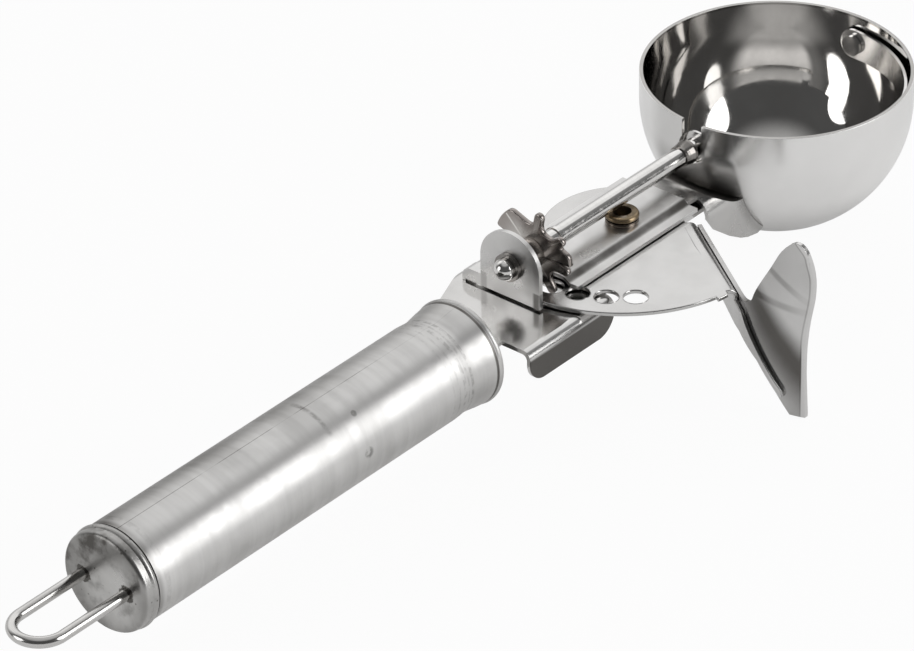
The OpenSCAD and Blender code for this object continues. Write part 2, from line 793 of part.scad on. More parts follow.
// The stud stands inside the right guard and takes the spring's long leg
stud_at = [pivot_x - 21, pivot_y - 8.5];

module spring_stud() {
    color([0.60, 0.59, 0.58])
        translate([stud_at[0], stud_at[1], 0]) {
            translate([0, 0, neck_top - 4.6])
                cylinder(r = stud_r, h = 4.6);
            translate([0, 0, neck_top - 5.2])
                cylinder(r = stud_r + 0.7, h = 0.8);
        }
}

// Coil round the eyelet's barrel, then one leg to the stud and a short one towards the web
coil_r = bush_in_r + 0.5 + spring_wire_r;
coil_top = neck_low - 0.35 - spring_wire_r;
stud_rel = stud_at - [pivot_x, pivot_y];
leg_pass = coil_r - stud_r - 0.3 - spring_wire_r;
leg_dir = atan2(stud_rel[1], stud_rel[0]) + 360 - asin(leg_pass / norm(stud_rel));
coil_a0 = leg_dir + 90;
coil_a1 = 210 + 360 * 3;
long_leg = norm(stud_rel) + 2;
short_leg = 12;
coil_turns = (coil_a1 - coil_a0) / 360;
coil_n = round(8 * coil_turns);

function coil_at(a) = [coil_r * cos(a), coil_r * sin(a), coil_top - spring_pitch * (a - coil_a0) / 360];
spring_path = concat(
    [for (i = [8:-1:1]) coil_at(coil_a0) + long_leg * i / 8 * [cos(leg_dir), sin(leg_dir), 0]],
    [for (i = [0:coil_n]) coil_at(coil_a0 + (coil_a1 - coil_a0) * i / coil_n)],
    [for (i = [1:4]) coil_at(coil_a1) + short_leg * i / 4 * [cos(coil_a1 + 90), sin(coil_a1 + 90), 0]]);

// Least distance between two turns of the wire, measured surface to surface on the path's points
wire_gap = min([for (i = [0:len(spring_path) - 1]) for (j = [i + 5:1:len(spring_path) - 1])
    norm(spring_path[i] - spring_path[j])]) - 2 * spring_wire_r;
echo(spring_self_gap = wire_gap);

function unit(v) = v / norm(v);

// One tube of six sides swept along the points
module tube(path, r) {
    n = len(path);
    sides = 6;
    tangents = [for (i = [0:n - 1]) unit(path[min(n - 1, i + 1)] - path[max(0, i - 1)])];
    rings = [for (i = [0:n - 1]) let (t = tangents[i], s = unit(cross(t, [0, 0, 1])), u = cross(s, t))
        [for (k = [0:sides - 1]) path[i] + r * (cos(360 * k / sides) * s + sin(360 * k / sides) * u)]];
    points = [for (ring = rings) for (p = ring) p];
    walls = [for (i = [0:n - 2]) for (k = [0:sides - 1]) let (a = i * sides + k, b = i * sides + (k + 1) % sides)
        each [[a, b, b + sides], [a, b + sides, a + sides]]];
    caps = [[for (k = [sides - 1:-1:0]) k], [for (k = [0:sides - 1]) (n - 1) * sides + k]];
    polyhedron(points = points, faces = concat(walls, caps));
}

module return_spring() {
    color([0.62, 0.61, 0.60])
        translate([pivot_x, pivot_y, 0])
            tube(spring_path, spring_wire_r);
}

// The fold's frame starts a little behind the sector's front corner
fold_start = 1.2;
fold_off = fold_a[1] * cos(fold_dir) - fold_a[0] * sin(fold_dir);

handle_tube();
front_plug();
end_cap();
hanging_loop();
neck_plate();
channel_frame();
bowl_saddle();
bowl();
blade_pivot();
pivot_eyelet();
pivot_collar();
return_spring();
spring_stud();
lever_sector();
thumb_paddle();
drive_rod();
pinion();
rear_washer();
rod_collar();
sweep_blade();
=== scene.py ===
"""Looks of a lever ice cream scoop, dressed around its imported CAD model.

Every length in the classes is in millimetres, in the model's own frame: the origin is the centre of
the handle tube's mouth, +X runs to the bowl, +Y to the left and +Z up. Meshes are made in metres.
"""

from __future__ import annotations

import json
import logging
import math
import operator
from collections.abc import Callable
from dataclasses import astuple, dataclass
from enum import Enum
from functools import reduce

import bmesh
import bpy
from mathutils import Matrix, Vector

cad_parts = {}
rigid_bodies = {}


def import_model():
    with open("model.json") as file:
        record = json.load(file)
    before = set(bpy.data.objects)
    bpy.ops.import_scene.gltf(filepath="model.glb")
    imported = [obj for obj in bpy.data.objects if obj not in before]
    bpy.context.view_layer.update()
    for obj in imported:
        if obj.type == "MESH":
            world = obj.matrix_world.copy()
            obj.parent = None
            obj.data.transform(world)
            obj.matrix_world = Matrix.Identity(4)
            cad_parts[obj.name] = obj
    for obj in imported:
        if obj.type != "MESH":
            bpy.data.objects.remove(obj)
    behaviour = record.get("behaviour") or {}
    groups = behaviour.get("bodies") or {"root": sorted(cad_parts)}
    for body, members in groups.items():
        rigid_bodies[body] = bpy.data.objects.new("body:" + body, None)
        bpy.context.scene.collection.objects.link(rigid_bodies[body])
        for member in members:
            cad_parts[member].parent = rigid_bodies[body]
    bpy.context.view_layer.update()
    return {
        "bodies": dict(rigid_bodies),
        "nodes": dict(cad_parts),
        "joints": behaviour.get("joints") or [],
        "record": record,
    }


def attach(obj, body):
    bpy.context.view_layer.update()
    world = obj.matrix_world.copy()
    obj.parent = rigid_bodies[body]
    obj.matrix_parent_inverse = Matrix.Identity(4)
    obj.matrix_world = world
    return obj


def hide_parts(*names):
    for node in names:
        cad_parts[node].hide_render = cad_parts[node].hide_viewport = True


log = logging.getLogger("scoop")
MM = 0.001
DEGREES = 180 / math.pi
SHARP_TURN = math.radians(50)
BOWL_CENTRE = (100.0, 0.0, 12.0)
Point = tuple[float, float, float]
Socket = bpy.types.NodeSocket


def added(name: str, data: bpy.types.ID) -> bpy.types.Object:
    """Makes an object and puts it in the scene.

    Args:
        name: Its name.
        data: Its mesh, lamp or camera.

    Returns:
        The object.
    """
    obj = bpy.data.objects.new(name, data)
    bpy.context.scene.collection.objects.link(obj)
    return obj


def towards(azimuth: float, elevation: float) -> Vector:
    """Works out a direction from the object."""
    a, e = math.radians(azimuth), math.radians(elevation)
    return Vector((math.cos(a) * math.cos(e), math.sin(a) * math.cos(e), math.sin(e)))


def finish_shell(bm: bmesh.types.BMesh, mesh: bpy.types.Mesh) -> bpy.types.Mesh:
    """Turns the faces outwards, shades them soft up to their sharp edges and writes them to a mesh.

    Args:
        bm: The faces, which are freed.
        mesh: The mesh to write to.

    Returns:
        The mesh.
    """
    bmesh.ops.recalc_face_normals(bm, faces=bm.faces)
    for face in bm.faces:
        face.smooth = True
    for edge in bm.edges:
        edge.smooth = len(edge.link_faces) == 2 and edge.calc_face_angle(0) < SHARP_TURN
    bm.to_mesh(mesh)
    bm.free()
    return mesh


class Body(Enum):
    """The moving bodies of the scoop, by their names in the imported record."""

    FRAME = "frame"
    LEVER = "lever"
    DRIVE = "drive"


@dataclass(frozen=True)
class Brushing:
    """How the fine lines and broad streaks of a worked surface are drawn out.

    Attributes:
        lines: Scale of the lines on each axis, small where they run far.
        streaks: Scale of the streaks on each axis.
        wider: How many times wider the streaks are than the lines, or None for loose clouds.
        turn: Turn of the lines in degrees.
    """

    lines: Point
    streaks: Point
    wider: float | None
    turn: Point = (0, 0, 0)


class Grain(Enum):
    """How a steel surface was last worked."""

    AROUND = Brushing((1, 0.03, 0.03), (1, 0.1, 0.1), 12)
    TURNED = Brushing((0.03, 0.03, 1), (0.1, 0.1, 1), 4)
    PLAIN = Brushing((1, 0.12, 1), (1, 1, 1), None, (0, 0, 28))


class NodeGraph:
    """A small hand for wiring nodes."""

    def __init__(self, tree: bpy.types.NodeTree) -> None:
        """Keeps the tree that the nodes go into."""
        self.tree = tree

    def add(self, kind: str, inputs: dict[str | int, object] | None = None,
            **settings: object) -> bpy.types.Node:
        """Adds a node, sets its properties, and joins or sets its inputs.

        Args:
            kind: Blender's type name of the node.
            inputs: For each input's name or number, what to join or the value to set, or None.
            **settings: Properties to set on the node.

        Returns:
            The new node.
        """
        node = self.tree.nodes.new(kind)
        for key, value in settings.items():
            setattr(node, key, value)
        for key, value in (inputs or {}).items():
            if isinstance(value, (Field, Socket)):
                self.link(value, node.inputs[key])
            elif value is not None:
                node.inputs[key].default_value = value
        return node

    def link(self, source: Socket | Field, target: Socket) -> None:
        """Joins two sockets."""
        self.tree.links.new(source.socket if isinstance(source, Field) else source, target)

    def math(self, operation: str, *values: Field | float, clamp: bool = False) -> Field:
        """Adds a Math node.

        Args:
            operation: Blender's name of the operation.
            *values: The one or two values that it works on.
            clamp: Whether the result stays between 0 and 1.

        Returns:
            The result.
        """
        node = self.add("ShaderNodeMath", dict(enumerate(values)), operation=operation, use_clamp=clamp)
        return Field(self, node.outputs[0])

    def scaled(self, vector: Socket, scale: Point, turn: Point = (0, 0, 0)) -> Socket:
        """Stretches and turns a vector.

        Args:
            vector: The vector.
            scale: Factor on each axis.
            turn: Turn about each axis in degrees.

        Returns:
            The new vector.
        """
        node = self.add("ShaderNodeMapping", {"Vector": vector, "Scale": scale,
                                              "Rotation": [math.radians(a) for a in turn]})
        return node.outputs["Vector"]

    def split(self, vector: Socket) -> list[Field]:
        """Splits a vector into its x, y and z."""
        parts = self.add("ShaderNodeSeparateXYZ", {0: vector}).outputs
        return [Field(self, part) for part in parts]

    def blend(self, share: Field, first: Socket | Point, second: Point) -> Socket:
        """Mixes two colours.

        Args:
            share: Share of the second colour.
            first: First colour, read from a socket or constant.
            second: Second colour.

        Returns:
            The mixed colour.
        """
        under = first if isinstance(first, Socket) else (*first, 1)
        mix = self.add("ShaderNodeMix", {0: share, 6: under, 7: (*second, 1)}, data_type="RGBA")
        return mix.outputs[2]

    def bump(self, height: Field, depth: float, below: Socket | None = None) -> Socket:
        """Adds a bump of a real depth over another one.

        Args:
            height: Height pattern between 0 and 1.
            depth: Depth in millimetres.
            below: Normal that this bump is laid over.

        Returns:
            The normal.
        """
        node = self.add("ShaderNodeBump", {"Strength": 1.0, "Distance": depth * MM, "Height": height,
                                           "Normal": below})
        return node.outputs["Normal"]


class Field:
    """A value that changes over a surface and is worked with like a number."""

    def __init__(self, g: NodeGraph, socket: Socket) -> None:
        """Keeps the socket that gives the value."""
        self.g = g
        self.socket = socket

    def __add__(self, other: Field | float) -> Field:
        """Adds a value."""
        return self.g.math("ADD", self, other)

    def __sub__(self, other: Field | float) -> Field:
        """Takes a value away."""
        return self.g.math("SUBTRACT", self, other)

    def __mul__(self, other: Field | float) -> Field:
        """Multiplies by a value."""
        return self.g.math("MULTIPLY", self, other)

    def __pow__(self, exponent: float) -> Field:
        """Raises to a power."""
        return self.g.math("POWER", self, exponent)

    def __abs__(self) -> Field:
        """Drops the sign."""
        return self.g.math("ABSOLUTE", self)


@dataclass(frozen=True)
class Ramp:
    """A smooth change between two results.

    Attributes:
        low: Value where the change starts.
        high: Value where it ends.
        start: Result up to low.
        end: Result from high on.
    """

    low: float
    high: float
    start: float = 0.0
    end: float = 1.0

    def __call__(self, value: Field) -> Field:
        """Ramps a value.

        Args:
            value: The value.

        Returns:
            The result.
        """
        limits = dict(zip(("From Min", "From Max", "To Min", "To Max"), astuple(self)))
        node = value.g.add("ShaderNodeMapRange", {"Value": value, **limits},
                           interpolation_type="SMOOTHSTEP")
        return Field(value.g, node.outputs["Result"])


@dataclass(frozen=True)
class Band:
    """A band of values with soft sides.

    Attributes:
        middle: Middle of the band.
        half: Half of its full width.
        soft: Width of each soft side.
        result: Result in the band.
    """

    middle: float
    half: float
    soft: float
    result: float = 1.0

    def __call__(self, value: Field) -> Field:
        """Picks the band out."""
        return Ramp(self.half, self.half + self.soft, self.result, 0.0)(abs(value - self.middle))


Layer = tuple[tuple[str, Ramp | Band], ...]


class Spot:
    """A place on a piece, as a vector in metres and as x, y and z in millimetres."""

    def __init__(self, g: NodeGraph) -> None:
        """Reads the object coordinates.

        Args:
            g: The material's graph.
        """
        self.g = g
        self.place = g.add("ShaderNodeTexCoord").outputs["Object"]
        self.x, self.y, self.z = (part * 1000 for part in g.split(self.place))
        self.found: dict[str, Field] = {}

    def measure(self, name: str) -> Field:
        """Finds a measure of the place, once.

        Args:
            name: Its name in MEASURES.

        Returns:
            The measure in millimetres or degrees, or a pattern between 0 and 1.
        """
        if name not in self.found:
            self.found[name] = MEASURES[name](self)
        return self.found[name]

    def darkness(self, layers: tuple[Layer, ...]) -> Field:
        """Adds up marks and painted shade, each the product of its ramps and bands, to 0 for bare steel."""
        parts = [reduce(operator.mul, (shape(self.measure(name)) for name, shape in layer))
                 for layer in layers]
        return reduce(operator.add, parts)

    def blot(self, x: float, turn: float, arc: float = 0.1833) -> Field:
        """Measures the place against a blot on the tube."""
        return (self.x - x) ** 2 + ((self.measure("turn") - turn) * arc) ** 2

    def over_line(self, y: float, z: float, slope: float) -> Field:
        """Measures the height over a slanted line on the paddle."""
        return self.z - (self.y - y) * slope - z

    def from_bowl(self) -> Field:
        """Measures the distance from the bowl's centre in millimetres."""
        away = self.g.add("ShaderNodeVectorMath", {0: self.place, 1: Vector(BOWL_CENTRE) * MM},
                          operation="DISTANCE")
        return Field(self.g, away.outputs["Value"]) * 1000

    def noise(self, scale: float, detail: float, roughness: float = 0.55, drawn: Point = (1, 1, 1),
              turn: Point = (0, 0, 0)) -> Field:
        """Reads a noise pattern at the place.

        Args:
            scale: Waves in each metre.
            detail: Layers of finer noise.
            roughness: Strength of the finer layers.
            drawn: Factor on each axis, small where the pattern runs far.
            turn: Turn of the pattern in degrees.

        Returns:
            The pattern, about 0.5 on average.
        """
        node = self.g.add("ShaderNodeTexNoise", {"Vector": self.g.scaled(self.place, drawn, turn),
                                                 "Scale": scale, "Detail": detail,
                                                 "Roughness": roughness})
        return Field(self.g, node.outputs["Fac"])

    def cells(self, scale: float) -> Field:
        """Measures the distance from points scattered over the piece, as a share of their spacing."""
        node = self.g.add("ShaderNodeTexVoronoi", {"Vector": self.place, "Scale": scale})
        return Field(self.g, node.outputs["Distance"])


# What a mark can run over: lengths in millimetres, turns in degrees, and patterns between 0 and 1.
MEASURES: dict[str, Callable[[Spot], Field]] = {
    "x": lambda at: at.x,
    "y": lambda at: at.y,
    "z": lambda at: at.z,
    "aside": lambda at: abs(at.y),
    "turn": lambda at: at.g.math("MODULO", at.g.math("ARCTAN2", at.z, at.y) * DEGREES + 360, 360),
    "large blot": lambda at: at.blot(-39.3, 175),
    "small blot": lambda at: at.blot(-39.1, 129),
    "from a loop leg": lambda at: ((abs(at.y) - 5.4) ** 2 + at.z ** 2
                                   - Ramp(0.3, 0.7, 0.0, 1.6)(at.noise(900, 3))),
    "from the light": lambda at: (at.y + 1.5) ** 2 + (at.z + 1.5) ** 2,
    "from the bowl": lambda at: at.from_bowl() - 28.0,
    "over the low fold": lambda at: at.over_line(-40.7, 8.7, 0.065),
    "over the steep fold": lambda at: at.over_line(-44.6, 15.2, 0.65),
    "over the thumb": lambda at: at.over_line(-41.5, 6.5, 1.06),
    "in from the edge": lambda at: at.y - (Ramp(0, 14, -51.45, -53.0)(at.z) + Ramp(15, 21)(at.z)
                                           + Ramp(20, 24.5, 0.0, 2.4)(at.z)),
    "grit": lambda at: at.noise(700, 3),
    "smudges": lambda at: at.noise(90, 2),
    # Next, a noise that only makes the painted shade on the channel's right bend uneven.
    "uneven_shade": lambda at: at.noise(160, 3),
    "patches": lambda at: at.noise(160, 2),
    "grime": lambda at: at.noise(240, 4),
    "specks": lambda at: at.cells(700),
}

# Each mark is a product of ramps and bands over its measures, and each group's marks are added up.
SEAM = (("turn", Band(92, 0.25, 0.3)), ("smudges", Ramp(0.35, 0.55, 0.1, 0.5)),
        ("x", Ramp(-34, -22, 1.0, 0.25)))
PRESSED_RING = (("x", Band(-46.6, 0.1, 0.7)), ("turn", Band(106, 22, 12)),
                ("grit", Ramp(0.35, 0.6, 0.12, 0.4)))
RUBBED_RINGS = tuple((("x", Band(x, half, 0.25)), ("grit", Ramp(0.4, 0.62, 0.0, dark)))
                     for x, half, dark in ((-8.6, 0.25, 0.28), (-9.8, 0.12, 0.2), (-10.9, 0.3, 0.25),
                                           (-12.6, 0.12, 0.14), (-14.2, 0.1, 0.1), (-95.5, 0.5, 0.12)))
BLOTS = tuple(((f"{size} blot", Ramp(inner, outer, 1.0, 0.0)), ("grit", Ramp(0.4, 0.58, 0.05, 0.5)))
              for size, inner, outer in (("large", 0.4, 2.0), ("small", 0.14, 0.7)))
MOUTH_LINE = (("x", Band(-1.8, 0.2, 0.25, 0.85)),)
LEFT_SHADE = (("turn", Ramp(58, 118, 0.62, 0.0)), ("turn", Ramp(0, 30, 0.48, 1.0)),
              ("x", Ramp(-95, -15, 1.15, 0.8)))
LOW_SHADE = (("turn", Ramp(166, 200, 0.0, 0.3)),)
REAR_SHADE = (("x", Ramp(-97.6, -96.4, 0.35, 0.0)),)
TUBE_MARKS = (SEAM, PRESSED_RING, *RUBBED_RINGS, *BLOTS, MOUTH_LINE, LEFT_SHADE, LOW_SHADE, REAR_SHADE)

# Painted shade: dark uneven rings round the loop's legs, in the gaps where they enter the cap.
LEG_GAP_SHADE = (("from a loop leg", Ramp(1.5, 2.8, 0.95, 0.0)),)
DARK_SPECKS = (("specks", Ramp(0.08, 0.2, 0.8, 0.0)), ("patches", Ramp(0.54, 0.66)))
GRIME = (("grime", Ramp(0.48, 0.72, 0.0, 0.4)),)
BEAD_TARNISH = (("x", Ramp(-98.5, -97.9, 0.0, 0.8)),)
CAP_SHADE = (("from the light", Ramp(4, 80, 0.0, 0.42)), ("x", Ramp(-101.6, -101.0, 1.0, 0.4)))
CAP_MARKS = (LEG_GAP_SHADE, DARK_SPECKS, GRIME, BEAD_TARNISH, CAP_SHADE)

# Painted shade: the guard's sides darkened like a dark reflection of the shadowed floor below.
GUARD_SIDE_SHADE = (("aside", Ramp(15.1, 15.4)), ("z", Ramp(1.9, 2.7, 1.0, 0.0)))
# Painted shade: the plate darker towards its left at the rear, by the ear.
LEFT_SHOULDER_SHADE = (("y", Ramp(-4, 2, 0.0, 0.24)), ("x", Ramp(12, 22, 1.0, 0.0)))
PLATE_SHADE = (GUARD_SIDE_SHADE, LEFT_SHOULDER_SHADE)

# Painted shade: dark stripes along the channel's two bends below the ear, the right one uneven.
BELOW_EAR = ("z", Ramp(7.9, 8.3, 1.0, 0.0))
RIGHT_BEND_SHADE = (("y", Band(-6.7, 0.4, 0.8)), ("uneven_shade", Ramp(0.3, 0.7, 0.72, 0.92)), BELOW_EAR)
LEFT_BEND_SHADE = (("y", Band(6.7, 0.45, 0.6, 0.35)), BELOW_EAR)
CHANNEL_SHADE = (RIGHT_BEND_SHADE, LEFT_BEND_SHADE)

# Painted shadow: the saddle darkened where the bowl meets it, most near the middle.
BOWL_CONTACT_SHADOW = (("from the bowl", Ramp(0.5, 2.6, 0.95, 0.0)), ("aside", Ramp(8, 11, 1.0, 0.25)))
SADDLE_SHADE = (BOWL_CONTACT_SHADOW,)

# Painted shade and painted dark reflections on the paddle, kept in from its edge: bands along two folds, a
# dark patch below the thumb line, a darker top and a dark line along the edge.
INSIDE_EDGE = ("in from the edge", Ramp(0.36, 0.62))
FOLD_FADING = ("y", Ramp(-52.0, -47.0, 0.25, 1.0))
LOW_FOLD_SHADE = (("over the low fold", Band(0, 0.3, 0.9, 0.3)), FOLD_FADING, INSIDE_EDGE)
STEEP_FOLD_SHADE = (("over the steep fold", Band(0, 0.35, 0.9, 0.32)), FOLD_FADING, INSIDE_EDGE)
THUMB_PATCH_SHADE = (("over the thumb", Ramp(-16, -2, 0.2, 0.86)), ("over the thumb", Ramp(-1, 6.5, 1.0, 0.0)),
              INSIDE_EDGE)
PADDLE_TOP_SHADE = (("z", Ramp(10, 18, 0.08, 0.2)), INSIDE_EDGE)
EDGE_SHADE_LINE = (("in from the edge", Band(0.62, 0.04, 0.22)), ("z", Ramp(-8, 8, 0.12, 0.3)))
PADDLE_SHADE = (LOW_FOLD_SHADE, STEEP_FOLD_SHADE, THUMB_PATCH_SHADE, PADDLE_TOP_SHADE, EDGE_SHADE_LINE)

# Painted shade and painted reflection on the bowl's outside: darker towards the bottom, and a dark
# reflection of the mechanism on its handle side.
BOWL_FOOT_SHADE = (("z", Ramp(-15, 2, 0.66, 0.0)),)
MECHANISM_REFLECTION = (("x", Ramp(74, 81, 1.0, 0.0)), ("aside", Ramp(8, 14, 1.0, 0.0)),
             ("z", Ramp(6, 12, 0.55, 0.25)))
SKIN_SHADE = (BOWL_FOOT_SHADE, MECHANISM_REFLECTION)

# Painted shade: the bowl's rim darker on its top.
RIM_TOP_SHADE = (("z", Ramp(17.35, 17.7, 0.0, 0.42)),)
RIM_SHADE = (RIM_TOP_SHADE,)


@dataclass(frozen=True)
class Steel:
    """A finish of worked metal: its colour, its shine, the marks left on it and the shade painted on it.

    Attributes:
        name: Name of the material.
        colour: Base colour in linear light.
        roughness: Middle of the roughness, before marks.
        grain_depth: Height of the brushed lines in millimetres.
        grain_pitch: Spacing of the brushed lines in millimetres.
        haze: Change of roughness in handled and cloudy patches.
        stain: Darkening of those patches.
        grain: Direction of the brushing.
        scratch: Depth of stray hairline scratches in millimetres.
        pit: Depth of small pits in millimetres.
        edge_wear: Brightening of edges worn by handling.
        spread: How far the shine of a round piece is drawn out along its axis.
        marks: Marks and painted shade that only this finish's piece carries.
        slot: Material slot of the record that this finish belongs to.
    """

    name: str
    colour: Point
    roughness: float
    grain_depth: float
    grain_pitch: float
    haze: float
    stain: float
    grain: Grain = Grain.PLAIN
    scratch: float = 0.002
    pit: float = 0.0
    edge_wear: float = 0.0
    spread: float = 0.0
    marks: tuple[Layer, ...] = ()
    slot: str = "sheet_steel"


class SteelMaker:
    """Turns finishes into materials with grain, haze, scratches, pits and worn edges."""

    clouds = (55, 5, 0.6)
    loose_streaks = (160, 4)
    pits_in_a_metre = 900
    scratch_grain = (2600, 1)
    haze_below = 0.3
    scratch_haze = 60
    most_scratch_haze = 0.12
    streak_stain = 0.5
    hazed = Ramp(0.42, 0.68)
    stained = Ramp(0.38, 0.7)
    streaked = Ramp(0.3, 0.7)
    streak_shine = Ramp(0.3, 0.7, -0.035, 0.035)
    pitted = Ramp(0.08, 0.28)
    mark_tint = (0.18, 0.173, 0.165)
    worn_edge = (0.52, 0.6)
    worn_colour = (0.85, 0.83, 0.8)
    scratched = Ramp(0.74, 0.8)
    scratch_patches = Ramp(0.52, 0.66)
    scratch_turns_and_patches = (((12, 8, 37), (1, 0.03, 0.6), 132), ((-20, 14, -51), (0.035, 1, 0.5), 100))

    def __init__(self) -> None:
        """Starts with no materials made."""
        self.made: dict[str, bpy.types.Material] = {}

    def material(self, steel: Steel) -> bpy.types.Material:
        """Makes the material of a finish, once.

        Args:
            steel: The finish.

        Returns:
            Its material.
        """
        if steel.name in self.made:
            return self.made[steel.name]
        mat = bpy.data.materials.new(steel.name)
        mat.use_nodes = True
        g = NodeGraph(mat.node_tree)
        spot = Spot(g)
        shader = mat.node_tree.nodes["Principled BSDF"]
        shader.inputs["Metallic"].default_value = 1.0
        hair = self._hairlines(spot)
        lines, streaks = self._grain(spot, steel)
        cloud = spot.noise(*self.clouds)
        g.link(self._colour(spot, steel, cloud, streaks), shader.inputs["Base Color"])
        rough = self.hazed(cloud) * steel.haze + (steel.roughness - steel.haze * self.haze_below)
        rough += self.streak_shine(streaks)
        hair_haze = hair * min(self.most_scratch_haze, steel.scratch * self.scratch_haze)
        rough = g.math("ADD", rough, hair_haze, clamp=True)
        g.link(rough, shader.inputs["Roughness"])
        normal = g.bump(lines, steel.grain_depth)
        normal = g.bump(g.math("SUBTRACT", 1.0, hair), steel.scratch, normal)
        if steel.pit > 0:
            normal = g.bump(self.pitted(spot.cells(self.pits_in_a_metre)), steel.pit, normal)
        g.link(normal, shader.inputs["Normal"])
        if steel.spread > 0:
            shader.inputs["Anisotropic"].default_value = steel.spread
            shader.inputs["Anisotropic Rotation"].default_value = 0.25
            along = g.add("ShaderNodeTangent", direction_type="RADIAL", axis="X")
            g.link(along.outputs[0], shader.inputs["Tangent"])
        self.made[steel.name] = mat
        return mat

    def _grain(self, spot: Spot, steel: Steel) -> tuple[Field, Field]:
        """Makes the brushed lines and the broad streaks of a finish.

        Args:
            spot: Place on the piece.
            steel: The finish.

        Returns:
            The lines and the streaks.
        """
        brushing = steel.grain.value
        fine = 1.0 / (steel.grain_pitch * MM)
        lines = spot.noise(fine, 3, drawn=brushing.lines, turn=brushing.turn)
        broad = self.loose_streaks if brushing.wider is None else (fine / brushing.wider, 3)
        return lines, spot.noise(*broad, drawn=brushing.streaks)

    def _colour(self, spot: Spot, steel: Steel, cloud: Field, streaks: Field) -> Socket:
        """Makes the colour of a finish with its stains, marks, painted shade and worn edges.

        Args:
            spot: Place on the piece.
            steel: The finish.
            cloud: Pattern of the handled patches.
            streaks: Pattern of the broad streaks.

        Returns:
            The colour.
        """
        g = spot.g
        tone = self.stained(cloud) * steel.stain
        tone += self.streaked(streaks) * (steel.stain * self.streak_stain)
        if steel.marks:
            tone = g.math("ADD", tone, spot.darkness(steel.marks), clamp=True)
        dark = tuple(c * k for c, k in zip(steel.colour, self.mark_tint))
        colour = g.blend(tone, steel.colour, dark)
        if steel.edge_wear > 0:
            pointed = Field(g, g.add("ShaderNodeNewGeometry").outputs["Pointiness"])
            colour = g.blend(Ramp(*self.worn_edge, 0.0, steel.edge_wear)(pointed), colour, self.worn_colour)
        return colour

    def _hairlines(self, spot: Spot) -> Field:
        """Makes two families of thin stray scratches.

        Args:
            spot: Place on the piece.

        Returns:
            1 in a scratch and 0 beside it.
        """
        families = [self.scratched(spot.noise(*self.scratch_grain, drawn=drawn, turn=turn))
                    * self.scratch_patches(spot.noise(patches, 2))
                    for turn, drawn, patches in self.scratch_turns_and_patches]
        return spot.g.math("MAXIMUM", *families)


HANDLE = Steel("brushed_handle_steel", (0.82, 0.812, 0.80), 0.42, 0.001, 0.16, 0.06, 0.12, scratch=0.001,
               spread=0.65, marks=TUBE_MARKS, slot="handle_steel", grain=Grain.AROUND)
CAP = Steel("stamped_cap_steel", (0.62, 0.613, 0.60), 0.34, 0.003, 0.2, 0.12, 0.3, pit=0.012,
            marks=CAP_MARKS, slot="cap_steel")
PLUG = Steel("dark_plug_steel", (0.12, 0.118, 0.115), 0.5, 0.004, 0.2, 0.1, 0.3, slot="plug_steel")
WIRE = Steel("drawn_wire_steel", (0.68, 0.67, 0.655), 0.18, 0.0006, 0.14, 0.06, 0.14, slot="wire_steel")
CHANNEL = Steel("polished_channel_steel", (0.72, 0.713, 0.703), 0.3, 0.0008, 0.14, 0.05, 0.07,
                scratch=0.001, marks=CHANNEL_SHADE)
SADDLE = Steel("drawn_saddle_steel", (0.62, 0.612, 0.60), 0.24, 0.0008, 0.14, 0.05, 0.07, scratch=0.0008,
               marks=SADDLE_SHADE)
PLATE = Steel("polished_plate_steel", (0.765, 0.757, 0.746), 0.15, 0.0012, 0.14, 0.05, 0.08,
              marks=PLATE_SHADE)
SECTOR = Steel("satin_sector_steel", (0.64, 0.633, 0.624), 0.2, 0.0008, 0.14, 0.04, 0.05, scratch=0.0008)
PADDLE = Steel("satin_paddle_steel", (0.74, 0.733, 0.725), 0.18, 0.0008, 0.14, 0.04, 0.06, scratch=0.0008,
               marks=PADDLE_SHADE)
BOWL = Steel("bright_bowl_steel", (0.74, 0.727, 0.71), 0.06, 0.0004, 0.2, 0.03, 0.12, scratch=0.0003,
             marks=RIM_SHADE, slot="bowl_steel")
BLADE = Steel("satin_blade_steel", (0.72, 0.71, 0.695), 0.17, 0.0006, 0.14, 0.04, 0.06, scratch=0.0006,
              slot="bowl_steel", grain=Grain.AROUND)
# Painted light: the bowl's outside has a brighter colour than its inside; its satin roughness is the real
# finish.
LIT_BOWL_SKIN = Steel("satin_bowl_steel_painted_lighter", (0.93, 0.923, 0.912), 0.22, 0.0005, 0.14, 0.03, 0.03, scratch=0.0,
                  marks=SKIN_SHADE, slot="bowl_steel")
ROD = Steel("bright_rod_steel", (0.80, 0.79, 0.775), 0.11, 0.0008, 0.1, 0.06, 0.10, slot="rod_steel",
            grain=Grain.AROUND)
PINION = Steel("dark_pinion_steel", (0.40, 0.365, 0.345), 0.2, 0.002, 0.16, 0.10, 0.35, pit=0.003,
               edge_wear=0.9, slot="pinion_steel")
WASHER = Steel("dark_washer_steel", (0.32, 0.305, 0.29), 0.22, 0.002, 0.16, 0.08, 0.2, slot="rod_steel")
COLLAR = Steel("dark_turned_collar", (0.26, 0.22, 0.185), 0.24, 0.006, 0.45, 0.1, 0.5,
               slot="spring_steel", grain=Grain.TURNED)
SPRING = Steel("spring_steel", (0.52, 0.51, 0.495), 0.2, 0.001, 0.1, 0.08, 0.2, slot="spring_steel",
               grain=Grain.AROUND)
BRASS = Steel("worn_eyelet_brass", (0.36, 0.275, 0.175), 0.3, 0.002, 0.16, 0.12, 0.45, pit=0.006,
              edge_wear=0.2, slot="eyelet_brass")


